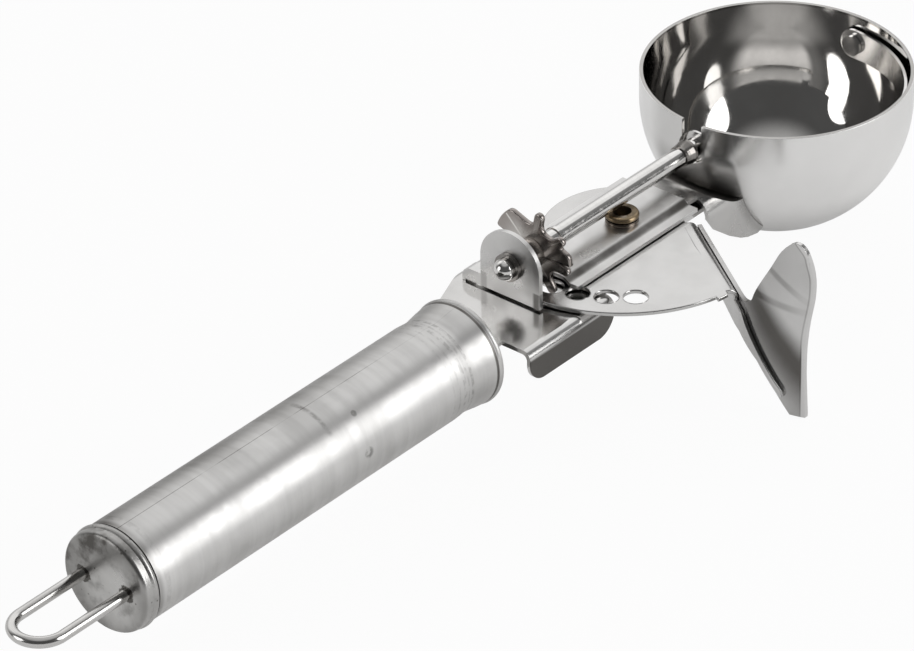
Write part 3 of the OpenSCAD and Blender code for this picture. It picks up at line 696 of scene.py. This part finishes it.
class Bench:
    """Makes meshes from numbers, from CAD nodes and from Geometry Nodes, and puts them in the frame."""

    merge_m = 2e-5
    shortest_m = 1e-5
    flat_turn = math.radians(0.4)
    round_turn = math.radians(40)
    gap_reach = 2.4
    upright = 0.3

    def __init__(self, frame: dict, steels: SteelMaker) -> None:
        """Keeps the loaded frame and the maker of materials."""
        self.frame = frame
        self.steels = steels

    def dress(self, node: str, steel: Steel) -> None:
        """Gives a CAD node its finish.

        Args:
            node: Name of the CAD node.
            steel: The finish.
        """
        materials = self.frame["nodes"][node].data.materials
        if not materials:
            materials.append(None)
        for index in range(len(materials)):
            materials[index] = self.steels.material(steel)
        log.info("node %s dressed in %s", node, steel.name)

    def place(self, name: str, mesh: bpy.types.Mesh, steel: Steel, body: Body,
              *nodes: str) -> bpy.types.Object:
        """Puts a finished mesh in the scene as a piece of one body.

        Args:
            name: Name of the piece.
            mesh: Its mesh, in place, in metres.
            steel: Its finish.
            body: The body that it rides on.
            *nodes: CAD nodes that it stands for.

        Returns:
            The piece.
        """
        obj = added(name, mesh)
        if not mesh.materials:
            mesh.materials.append(self.steels.material(steel))
        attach(obj, body.value)
        if nodes:
            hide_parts(*nodes)
        log.info("piece %s on %s, %d faces", name, body.value, len(mesh.polygons))
        return obj

    def bake(self, obj: bpy.types.Object) -> bpy.types.Mesh:
        """Turns an object with modifiers into one plain mesh and removes the object.

        Args:
            obj: The object with its modifiers.

        Returns:
            The evaluated mesh.
        """
        bpy.context.view_layer.update()
        depsgraph = bpy.context.evaluated_depsgraph_get()
        mesh = bpy.data.meshes.new_from_object(obj.evaluated_get(depsgraph), preserve_all_data_layers=True,
                                               depsgraph=depsgraph)
        mesh.name = obj.name
        bpy.data.objects.remove(obj)
        return mesh

    def rounded(self, name: str, node: str, steel: Steel, body: Body, edge: float, segments: int = 2,
                clamp: bool = True, closed: tuple[float, float] | None = None) -> bpy.types.Object:
        """Copies a CAD node, rounds its sharp edges and lets the copy stand for the node.

        Args:
            name: Name of the piece.
            node: The CAD node.
            steel: Its finish.
            body: The body that it rides on.
            edge: Radius of the round in millimetres.
            segments: Faces across each round.
            clamp: Whether short edges hold the round back over the whole piece.
            closed: Middle of a small gap in a flat sheet that is closed, from above in millimetres.

        Returns:
            The piece.
        """
        mesh = self.frame["nodes"][node].data.copy()
        mesh.materials.clear()
        bm = bmesh.new()
        bm.from_mesh(mesh)
        bmesh.ops.remove_doubles(bm, verts=bm.verts, dist=self.merge_m)
        bmesh.ops.dissolve_degenerate(bm, edges=bm.edges, dist=self.shortest_m)
        if closed is not None:
            self.close_gap(bm, Vector(closed) * MM)
        bmesh.ops.dissolve_limit(bm, angle_limit=self.flat_turn, verts=bm.verts, edges=bm.edges)
        for face in bm.faces:
            face.smooth = True
        bm.to_mesh(mesh)
        bm.free()
        for key in ("custom_normal", "sharp_face", "sharp_edge"):
            if key in mesh.attributes:
                mesh.attributes.remove(mesh.attributes[key])
        obj = added(name, mesh)
        bevel = obj.modifiers.new("round", "BEVEL")
        bevel.width = edge * MM
        bevel.segments = segments
        bevel.limit_method = "ANGLE"
        bevel.angle_limit = self.round_turn
        bevel.harden_normals = True
        bevel.use_clamp_overlap = clamp
        return self.place(name, self.bake(obj), steel, body, node)

    def close_gap(self, bm: bmesh.types.BMesh, middle: Vector) -> None:
        """Takes the walls of a small gap out of a flat sheet and fills its two openings.

        Args:
            bm: The sheet.
            middle: Middle of the gap, seen from above, in metres.
        """
        walls = [f for f in bm.faces if abs(f.normal.z) < self.upright
                 and all((v.co.xy - middle).length < self.gap_reach * MM for v in f.verts)]
        bmesh.ops.delete(bm, geom=walls, context="FACES")
        bmesh.ops.holes_fill(bm, edges=[e for e in bm.edges if e.is_boundary], sides=0)
        bmesh.ops.recalc_face_normals(bm, faces=bm.faces)


class GeometryTree:
    """A Geometry Nodes tree built in the script, with named inputs, that grows pieces on points."""

    def __init__(self, bench: Bench, name: str, **inputs: tuple[str, object]) -> None:
        """Starts a tree with a geometry input, the named inputs and a geometry output.

        Args:
            bench: The bench that bakes and places the pieces.
            name: Name of the tree.
            **inputs: Socket type and default value of each input.
        """
        self.bench = bench
        self.tree = bpy.data.node_groups.new(name, "GeometryNodeTree")
        self.g = NodeGraph(self.tree)
        self.tree.interface.new_socket("Geometry", in_out="INPUT", socket_type="NodeSocketGeometry")
        self.ids: dict[str, str] = {}
        for key, (kind, default) in inputs.items():
            socket = self.tree.interface.new_socket(key, in_out="INPUT", socket_type=kind)
            if default is not None:
                socket.default_value = default
            self.ids[key] = socket.identifier
        self.tree.interface.new_socket("Geometry", in_out="OUTPUT", socket_type="NodeSocketGeometry")
        self.given = self.g.add("NodeGroupInput").outputs

    def finish(self, geometry: Socket) -> None:
        """Ends the tree in realized instances of one material.

        Args:
            geometry: What the tree has made.
        """
        real = self.g.add("GeometryNodeRealizeInstances", {"Geometry": geometry})
        painted = self.g.add("GeometryNodeSetMaterial", {"Geometry": real.outputs["Geometry"],
                                                         "Material": self.given["Finish"]})
        self.g.add("NodeGroupOutput", {"Geometry": painted.outputs["Geometry"]})

    def grow(self, name: str, points: list[Point], joined: bool, steel: Steel, body: Body, *nodes: str,
             **values: float) -> bpy.types.Object:
        """Grows and places one piece.

        Args:
            name: Name of the piece.
            points: The points in millimetres.
            joined: Whether the points are joined to a path.
            steel: Its finish.
            body: The body that it rides on.
            *nodes: CAD nodes that it stands for.
            **values: Value of each named input of the tree.

        Returns:
            The piece.
        """
        mesh = bpy.data.meshes.new(name)
        edges = [(i, i + 1) for i in range(len(points) - 1)] if joined else []
        mesh.from_pydata([Vector(p) * MM for p in points], edges, [])
        obj = added(name, mesh)
        modifier = obj.modifiers.new(self.tree.name, "NODES")
        modifier.node_group = self.tree
        for key, value in {**values, "Finish": self.bench.steels.material(steel)}.items():
            modifier[self.ids[key]] = value
        baked = self.bench.bake(obj)
        bm = bmesh.new()
        bm.from_mesh(baked)
        return self.bench.place(name, finish_shell(bm, baked), steel, body, *nodes)


class WireBender(GeometryTree):
    """Sweeps round wire along a path of points."""

    def __init__(self, bench: Bench) -> None:
        """Builds the sweeping tree.

        Args:
            bench: The bench that bakes and places the wires.
        """
        super().__init__(bench, "bend_wire", Radius=("NodeSocketFloat", 0.001),
                         Sides=("NodeSocketInt", 24), Finish=("NodeSocketMaterial", None))
        g, given = self.g, self.given
        path = g.add("GeometryNodeMeshToCurve", {"Mesh": given["Geometry"]})
        ring = g.add("GeometryNodeCurvePrimitiveCircle", {"Radius": given["Radius"],
                                                          "Resolution": given["Sides"]})
        tube = g.add("GeometryNodeCurveToMesh", {"Curve": path.outputs["Curve"], "Fill Caps": True,
                                                 "Profile Curve": ring.outputs["Curve"]})
        self.finish(tube.outputs["Mesh"])


class RimRow(GeometryTree):
    """Sets a row of small rolled rims on points."""

    def __init__(self, bench: Bench) -> None:
        """Builds the tree that repeats a rim.

        Args:
            bench: The bench that bakes and places the rims.
        """
        super().__init__(bench, "row_of_rims", Radius=("NodeSocketFloat", 0.0026),
                         Lip=("NodeSocketFloat", 0.0001), Finish=("NodeSocketMaterial", None))
        g, given = self.g, self.given
        ring, lip = (g.add("GeometryNodeCurvePrimitiveCircle", {"Radius": given[key], "Resolution": sides})
                     for key, sides in (("Radius", 64), ("Lip", 12)))
        rim = g.add("GeometryNodeCurveToMesh", {"Curve": ring.outputs["Curve"],
                                                "Profile Curve": lip.outputs["Curve"]})
        row = g.add("GeometryNodeInstanceOnPoints", {"Points": given["Geometry"],
                                                     "Instance": rim.outputs["Mesh"]})
        self.finish(row.outputs["Instances"])


@dataclass
class Handle:
    """The handle: brushed tube, front plug, end cap and hanging loop."""

    bench: Bench
    wires: WireBender
    loop_wire: float = 1.15
    loop_half: float = 5.4
    loop_root: float = -96.5
    loop_bend: float = -118.74
    loop_sides: int = 32
    leg_steps: int = 20
    bend_steps: int = 40

    def build(self) -> None:
        """Builds and dresses the handle's pieces."""
        self.bench.dress("handle_tube", HANDLE)
        self.bench.dress("front_plug", PLUG)
        self.bench.dress("end_cap", CAP)
        self.wires.grow("hanging_loop_wire", self.loop_path(), True, WIRE, Body.FRAME, "hanging_loop",
                        Radius=self.loop_wire * MM, Sides=self.loop_sides)

    def loop_path(self) -> list[Point]:
        """Works out the loop's middle line, a hairpin with its legs in the cap.

        Returns:
            The line's points in millimetres.
        """
        h, n = self.loop_half, self.leg_steps
        left = [(self.loop_root + (self.loop_bend - self.loop_root) * i / n, h, 0.0) for i in range(n)]
        turns = [math.pi * i / self.bend_steps for i in range(self.bend_steps + 1)]
        bend = [(self.loop_bend - h * math.sin(a), h * math.cos(a), 0.0) for a in turns]
        right = [(x, -y, z) for x, y, z in reversed(left)]
        return left + bend + right


@dataclass
class Frame:
    """The flat frame: neck plate, channel with its ear, and the saddle under the bowl."""

    bench: Bench
    plate_edge: float = 0.168
    edge: float = 0.12

    def build(self) -> None:
        """Builds and dresses the frame's sheets."""
        self.bench.rounded("neck_plate_sheet", "neck_plate", PLATE, Body.FRAME, self.plate_edge)
        self.bench.rounded("channel_sheet", "channel_frame", CHANNEL, Body.FRAME, self.edge)
        self.bench.rounded("saddle_sheet", "bowl_saddle", SADDLE, Body.FRAME, self.edge)


@dataclass
class Scoop:
    """The bowl, the far pivot and the blade that sweeps it."""

    bench: Bench
    rim_edge: float = 0.38
    rim_faces: int = 5
    blade_edge: float = 0.12
    skin_from: float = 27.6
    level: float = 0.999

    def build(self) -> None:
        """Builds and dresses the bowl's pieces."""
        bowl = self.bench.rounded("bowl_shell", "bowl", BOWL, Body.FRAME, self.rim_edge, self.rim_faces)
        self.polish(bowl)
        self.bench.dress("blade_pivot", ROD)
        self.bench.rounded("sweep_blade_strip", "sweep_blade", BLADE, Body.DRIVE, self.blade_edge)

    def polish(self, bowl: bpy.types.Object) -> None:
        """Gives the outside of the bowl its satin skin, painted lighter than the inside, and leaves the
        inside bright.

        Args:
            bowl: The bowl's piece.
        """
        bowl.data.materials.append(self.bench.steels.material(LIT_BOWL_SKIN))
        for face in bowl.data.polygons:
            spot = face.center - Vector(BOWL_CENTRE) * MM
            spot.z = min(0.0, spot.z)
            outward = spot.dot(face.normal) > 0 and spot.length > self.skin_from * MM
            face.material_index = 1 if outward and abs(face.normal.z) < self.level else 0


@dataclass
class Pivot:
    """The lever's pivot: brass eyelet, dark steel collar, return spring and its stud."""

    bench: Bench
    wires: WireBender
    at: tuple[float, float] = (48.0, -1.5)
    wire: float = 0.45
    pitch: float = 1.5
    coil_r: float = 3.45
    coil_top: float = 2.4
    coil_end: float = 210.0 + 360.0 * 3
    wire_sides: int = 20
    coil_steps: int = 40
    long_steps: int = 12
    short_steps: int = 8
    stud: tuple[float, float] = (-21.0, -8.5)
    stud_r: float = 1.3
    stud_gap: float = 0.3
    past_stud: float = 2.0
    short_leg: float = 12.0

    def build(self) -> None:
        """Builds and dresses the pivot's pieces."""
        self.bench.dress("pivot_eyelet", BRASS)
        self.bench.dress("pivot_collar", COLLAR)
        self.bench.dress("spring_stud", SPRING)
        self.wires.grow("return_spring_coil", self.spring_path(), True, SPRING, Body.FRAME, "return_spring",
                        Radius=self.wire * MM, Sides=self.wire_sides)

    def spring_path(self) -> list[Point]:
        """Works out the spring's middle line: a long leg, the coil and a short leg.

        Returns:
            The line's points in millimetres.
        """
        reach = math.hypot(*self.stud)
        passed = self.coil_r - self.stud_r - self.stud_gap - self.wire
        to_stud = math.degrees(math.atan2(self.stud[1], self.stud[0])) + 360
        leg = to_stud - math.degrees(math.asin(passed / reach))
        first, last = leg + 90, self.coil_end

        def coil(turn: float) -> Vector:
            """Finds the coil's point at a turn in degrees."""
            flat = towards(turn, 0) * self.coil_r
            return Vector((flat.x, flat.y, self.coil_top - self.pitch * (turn - first) / 360))

        steps = round(self.coil_steps * (last - first) / 360)
        line = [coil(first) + towards(leg, 0) * (reach + self.past_stud) * i / self.long_steps
                for i in range(self.long_steps, 0, -1)]
        line += [coil(first + (last - first) * i / steps) for i in range(steps + 1)]
        line += [coil(last) + towards(last + 90, 0) * self.short_leg * i / self.short_steps
                 for i in range(1, self.short_steps + 1)]
        return [(p.x + self.at[0], p.y + self.at[1], p.z) for p in line]


@dataclass
class Lever:
    """The thumb lever: punched sector, its web and the hollow paddle."""

    bench: Bench
    rims: RimRow
    pivot: tuple[float, float] = (48.0, -1.5)
    pinion_x: float = 22.4
    rack_r: float = 25.644
    first_tooth: float = 11.0
    ratio: float = 3.5
    hole_step: float = 12.857
    holes: int = 5
    hole_r: float = 2.58
    lip_r: float = 0.07
    top: float = 5.4
    sector_edge: float = 0.26
    sector_faces: int = 3
    sector_gap: tuple[float, float] = (50.6, -18.3)
    paddle_edge: float = 0.12

    def build(self) -> None:
        """Builds and dresses the lever's pieces."""
        self.bench.rounded("sector_and_web", "lever_sector", SECTOR, Body.LEVER, self.sector_edge,
                           self.sector_faces, clamp=False, closed=self.sector_gap)
        self.bench.rounded("paddle_leaf", "thumb_paddle", PADDLE, Body.LEVER, self.paddle_edge)
        self.rims.grow("rack_hole_rims", self.hole_centres(), False, SECTOR, Body.LEVER,
                       Radius=self.hole_r * MM, Lip=self.lip_r * MM)

    def hole_centres(self) -> list[Point]:
        """Works out where the punched holes lie on the sector's upper face.

        Returns:
            The centres in millimetres.
        """
        x, y = self.pivot
        first = math.degrees(math.atan2(-y, self.pinion_x - x)) - self.first_tooth / self.ratio
        turns = [math.radians(first + k * self.hole_step) for k in range(self.holes)]
        return [(x + self.rack_r * math.cos(a), y + self.rack_r * math.sin(a), self.top) for a in turns]


@dataclass
class Drive:
    """The drive rod with its star pinion, washer and collar."""

    bench: Bench
    axis_z: float = 12.0
    front: float = 23.0
    back: float = 21.8
    bore: float = 2.03
    root_r: float = 5.55
    tip_r: float = 9.3
    tooth_hw: float = 1.05
    tooth_from: float = 4.0
    tooth_angles: tuple[float, ...] = (101, 146, 191, 236, 281, 326)
    tooth_fillet: float = 1.9
    lug_r: float = 9.5
    lug_from: float = 17.0
    lug_to: float = 55.0
    lug_foot: float = -0.6
    lug_corner: float = 0.7
    lug_reach: float = 1.5
    lug_deepest: float = -3.0
    lug_fillet: float = 0.9
    round_edge: float = 0.34
    round_faces: int = 5
    rim_inset: float = 0.06
    hub_r: float = 3.2
    hub_back: float = 16.35
    boss_r: float = 3.55
    boss_front: float = 24.55
    overlap: float = 0.02
    hub_sides: int = 72
    hub_round: tuple[tuple[float, float], ...] = ((0.0, 0.3), (0.1, 0.1), (0.3, 0.0))
    outline_points: int = 480

    def build(self) -> None:
        """Builds and dresses the rod's pieces."""
        self.bench.dress("drive_rod", ROD)
        self.bench.place("star_pinion", self.pinion_mesh(), PINION, Body.DRIVE, "pinion")
        self.bench.dress("rear_washer", WASHER)
        self.bench.dress("rod_collar", WASHER)

    @staticmethod
    def soften(a: float, b: float, fillet: float) -> float:
        """Joins two distances with a fillet."""
        h = max(fillet - abs(a - b), 0.0) / fillet
        return min(a, b) - h * h * fillet / 4

    def outside(self, spot: Vector) -> float:
        """Measures how far a point lies outside the star, with every corner softened.

        Args:
            spot: The point, from the rod's axis to the left and up, in millimetres.

        Returns:
            The distance, negative inside the star.
        """
        gap = spot.length - self.root_r
        for angle in self.tooth_angles:
            way = towards(angle, 0).xy
            along = min(max(spot.dot(way), self.tooth_from), self.tip_r - self.tooth_hw)
            gap = self.soften(gap, (spot - way * along).length - self.tooth_hw, self.tooth_fillet)
        middle = math.radians((self.lug_from + self.lug_to) / 2)
        half = math.radians((self.lug_to - self.lug_from) / 2)
        r, turn = spot.length, math.atan2(spot.y, spot.x) - middle
        side = r * math.sin(abs(turn) - half) if abs(turn) < half + self.lug_reach else r
        if turn > 0:
            foot = Vector((self.lug_foot, self.root_r))
            way = (towards(self.lug_to, 0).xy * self.lug_r - foot).normalized()
            side = (spot - foot).dot(Vector((-way.y, way.x)))
        corner = self.lug_corner
        lug = math.hypot(max(side + corner, 0.0), max(r - self.lug_r + corner, 0.0)) - corner
        return self.soften(gap, max(lug, self.lug_deepest), self.lug_fillet)

    def outline(self, reach: float = 10.5, core: float = 3.0, step: float = 0.06,
                halvings: int = 9) -> list[Vector]:
        """Traces the star's outline about the rod's axis.

        Args:
            reach: Radius outside every tooth, where the search starts.
            core: Radius where it gives up.
            step: Its step inwards.
            halvings: How often the last step is halved.

        Returns:
            The points in millimetres, counter-clockwise seen from the bowl's side.
        """
        points = []
        for i in range(self.outline_points):
            way = towards(360 * i / self.outline_points, 0).xy
            low = reach
            while low > core and self.outside(way * low) > 0:
                low -= step
            high = low + step
            for _ in range(halvings):
                middle = (low + high) / 2
                if self.outside(way * middle) > 0:
                    high = middle
                else:
                    low = middle
            points.append(way * low)
        return points

    def pinion_mesh(self) -> bpy.types.Mesh:
        """Builds the punched star with rolled edges, its hub and its boss as closed shells.

        Returns:
            The mesh in metres.
        """
        line = self.outline()
        inward = []
        for i in range(len(line)):
            run = (line[(i + 1) % len(line)] - line[i - 1]).normalized()
            inward.append(Vector((-run.y, run.x)))
        e, n = self.round_edge, self.round_faces
        rings: list[tuple[float, float | None]] = [(self.back, None), (self.back, e + self.rim_inset)]
        rings += [(self.back + e * (1 - math.sin(a)), e * (1 - math.cos(a)))
                  for a in (math.pi / 2 * (1 - k / n) for k in range(n + 1))]
        rings += [(self.front + self.back - x, inset) for x, inset in reversed(rings)]
        bm = bmesh.new()
        self.stitch(bm, [[(x, *(p.normalized() * self.bore if inset is None else p + q * inset))
                          for p, q in zip(line, inward)] for x, inset in rings])
        ways = [towards(360 * i / self.hub_sides, 0).xy for i in range(self.hub_sides)]
        for back, front, radius in ((self.hub_back, self.back + self.overlap, self.hub_r),
                                    (self.front - self.overlap, self.boss_front, self.boss_r)):
            profile = [(back, self.bore), *((back + x, radius - inset) for x, inset in self.hub_round),
                       *((front - x, radius - inset) for x, inset in reversed(self.hub_round)),
                       (front, self.bore)]
            self.stitch(bm, [[(x, *(way * r)) for way in ways] for x, r in profile])
        return finish_shell(bm, bpy.data.meshes.new("star_pinion"))

    def stitch(self, bm: bmesh.types.BMesh, rings: list[list[Point]]) -> None:
        """Joins rings of points about the rod's axis into one closed shell.

        Args:
            bm: The mesh that gets the shell.
            rings: The rings in millimetres, in order, the last beside the first.
        """
        rows = [[bm.verts.new(Vector((x, y, z + self.axis_z)) * MM) for x, y, z in ring] for ring in rings]
        for j, row in enumerate(rows):
            after = rows[(j + 1) % len(rows)]
            for i in range(len(row)):
                k = (i + 1) % len(row)
                bm.faces.new((row[i], row[k], after[k], after[i]))


@dataclass(frozen=True)
class SoftBox:
    """A soft lamp that faces the object, with its direction in degrees, sizes in metres and watts."""

    name: str
    azimuth: float
    elevation: float
    distance: float
    width: float
    height: float
    power: float


@dataclass
class Studio:
    """The camera, the soft lamps, the surroundings and the pale floor.

    The wall and the fill are ramped over the side, in degrees from the wall's middle, and over the
    rise in degrees.
    """

    distance: float = 1199.6
    azimuth: float = -139.23
    elevation: float = 32.542
    roll: float = -1.066
    lens: float = 243.24
    target: Point = (0.1, 1.0, 5.3)
    floor_z: float = -16.2
    floor_half: float = 3000.0
    floor_white: float = 0.86
    floor_camera_share: float = 0.95
    floor_mirror_share: float = 0.36
    lamps: tuple[SoftBox, ...] = (SoftBox("right_softbox", -68, 23, 2.2, 1.45, 1.8, 21.0),
                                  SoftBox("left_softbox", 148, 19, 2.3, 1.3, 1.45, 9.0))
    lamp_middle: float = 40.0
    wall_azimuth: float = 41.0
    wall_left: Ramp = Ramp(-66, -52)
    wall_right: Ramp = Ramp(46, 78, 1.0, 0.0)
    wall_top: Ramp = Ramp(42, 66, 1.0, 0.0)
    wall_light: Ramp = Ramp(0, 34, 0.26, 0.86)
    ceiling: Ramp = Ramp(48, 72, 0.085, 0.5)
    fill_left: Ramp = Ramp(-100, -66, 0.0, 0.16)
    fill_right: Ramp = Ramp(60, 90, 1.0, 0.0)

    def build(self) -> None:
        """Sets the camera, lamps, surroundings and floor."""
        self.camera()
        for lamp in self.lamps:
            self.hang(lamp)
        self.surroundings()
        self.floor()
        bpy.context.scene.view_settings.view_transform = "Standard"

    @staticmethod
    def aim(obj: bpy.types.Object, back: Vector, roll: float = 0.0) -> None:
        """Turns a camera or lamp to look along a direction.

        Args:
            obj: The camera or lamp.
            back: The opposite of the direction.
            roll: Turn about the direction in degrees.
        """
        obj.rotation_mode = "QUATERNION"
        level = (-back).to_track_quat("-Z", "Y")
        obj.rotation_quaternion = level @ Matrix.Rotation(math.radians(roll), 3, "Z").to_quaternion()

    def camera(self) -> None:
        """Aims the camera as the photograph was taken."""
        data = bpy.data.cameras.new("camera")
        data.lens = self.lens
        data.sensor_width = 36.0
        data.clip_start, data.clip_end = 0.05, 20.0
        cam = added("camera", data)
        back = towards(self.azimuth, self.elevation)
        cam.location = (Vector(self.target) + back * self.distance) * MM
        self.aim(cam, back, self.roll)
        bpy.context.scene.camera = cam

    def hang(self, lamp: SoftBox) -> None:
        """Hangs one soft box.

        Args:
            lamp: The lamp.
        """
        data = bpy.data.lights.new(lamp.name, "AREA")
        data.shape = "ELLIPSE"
        data.size, data.size_y = lamp.width, lamp.height
        data.energy = lamp.power
        away = towards(lamp.azimuth, lamp.elevation)
        obj = added(lamp.name, data)
        obj.location = away * lamp.distance + Vector((self.lamp_middle * MM, 0, 0))
        self.aim(obj, away)

    def surroundings(self) -> None:
        """Paints the studio's walls: light ahead and above, dimmer behind the camera."""
        world = bpy.data.worlds.new("studio")
        bpy.context.scene.world = world
        world.use_nodes = True
        g = NodeGraph(world.node_tree)
        shade = world.node_tree.nodes["Background"]
        way = g.add("ShaderNodeTexCoord").outputs["Generated"]
        x, y, z = g.split(g.scaled(way, (1, 1, 1), (0, 0, -self.wall_azimuth)))
        side = g.math("ARCTAN2", y, x) * DEGREES
        rise = g.math("ARCSINE", z) * DEGREES
        wall = self.wall_left(side) * self.wall_right(side) * self.wall_top(rise) * self.wall_light(rise)
        light = wall + self.ceiling(rise) + self.fill_left(side) * self.fill_right(side)
        straight = g.add("ShaderNodeLightPath").outputs["Is Camera Ray"]
        seen = g.add("ShaderNodeMix", {0: straight, 2: light, 3: 1.0}, data_type="FLOAT")
        g.link(seen.outputs[0], shade.inputs["Strength"])
        shade.inputs["Color"].default_value = (1, 1, 1, 1)

    def floor(self) -> None:
        """Lays the white floor, which keeps the object's soft shadow."""
        mesh = bpy.data.meshes.new("floor")
        half, z = self.floor_half * MM, self.floor_z * MM
        sheet = [(-half, -half, z), (half, -half, z), (half, half, z), (-half, half, z)]
        mesh.from_pydata(sheet, [], [(0, 1, 2, 3)])
        mat = bpy.data.materials.new("white_sweep")
        mat.use_nodes = True
        g = NodeGraph(mat.node_tree)
        shader = mat.node_tree.nodes["Principled BSDF"]
        shader.inputs["Base Color"].default_value = (*[self.floor_white] * 3, 1)
        shader.inputs["Roughness"].default_value = 0.9
        glow = g.add("ShaderNodeEmission", {"Color": (1, 1, 1, 1), "Strength": 1.0})
        rays = g.add("ShaderNodeLightPath").outputs
        share = g.math("MAXIMUM", Field(g, rays["Is Camera Ray"]) * self.floor_camera_share,
                       Field(g, rays["Is Glossy Ray"]) * self.floor_mirror_share)
        mix = g.add("ShaderNodeMixShader", {0: share, 1: shader.outputs[0], 2: glow.outputs[0]})
        g.link(mix.outputs[0], mat.node_tree.nodes["Material Output"].inputs["Surface"])
        mesh.materials.append(mat)
        floor = added("floor", mesh)


def main() -> None:
    """Loads the frame and builds every sub-assembly in order."""
    logging.basicConfig(level=logging.INFO, format="%(name)s: %(message)s")
    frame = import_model()
    bench = Bench(frame, SteelMaker())
    wires, rims = WireBender(bench), RimRow(bench)
    for assembly in (Studio(), Handle(bench, wires), Frame(bench), Scoop(bench), Pivot(bench, wires),
                     Lever(bench, rims), Drive(bench)):
        assembly.build()
        log.info("%s built", type(assembly).__name__)


if __name__ == "__main__":
    main()
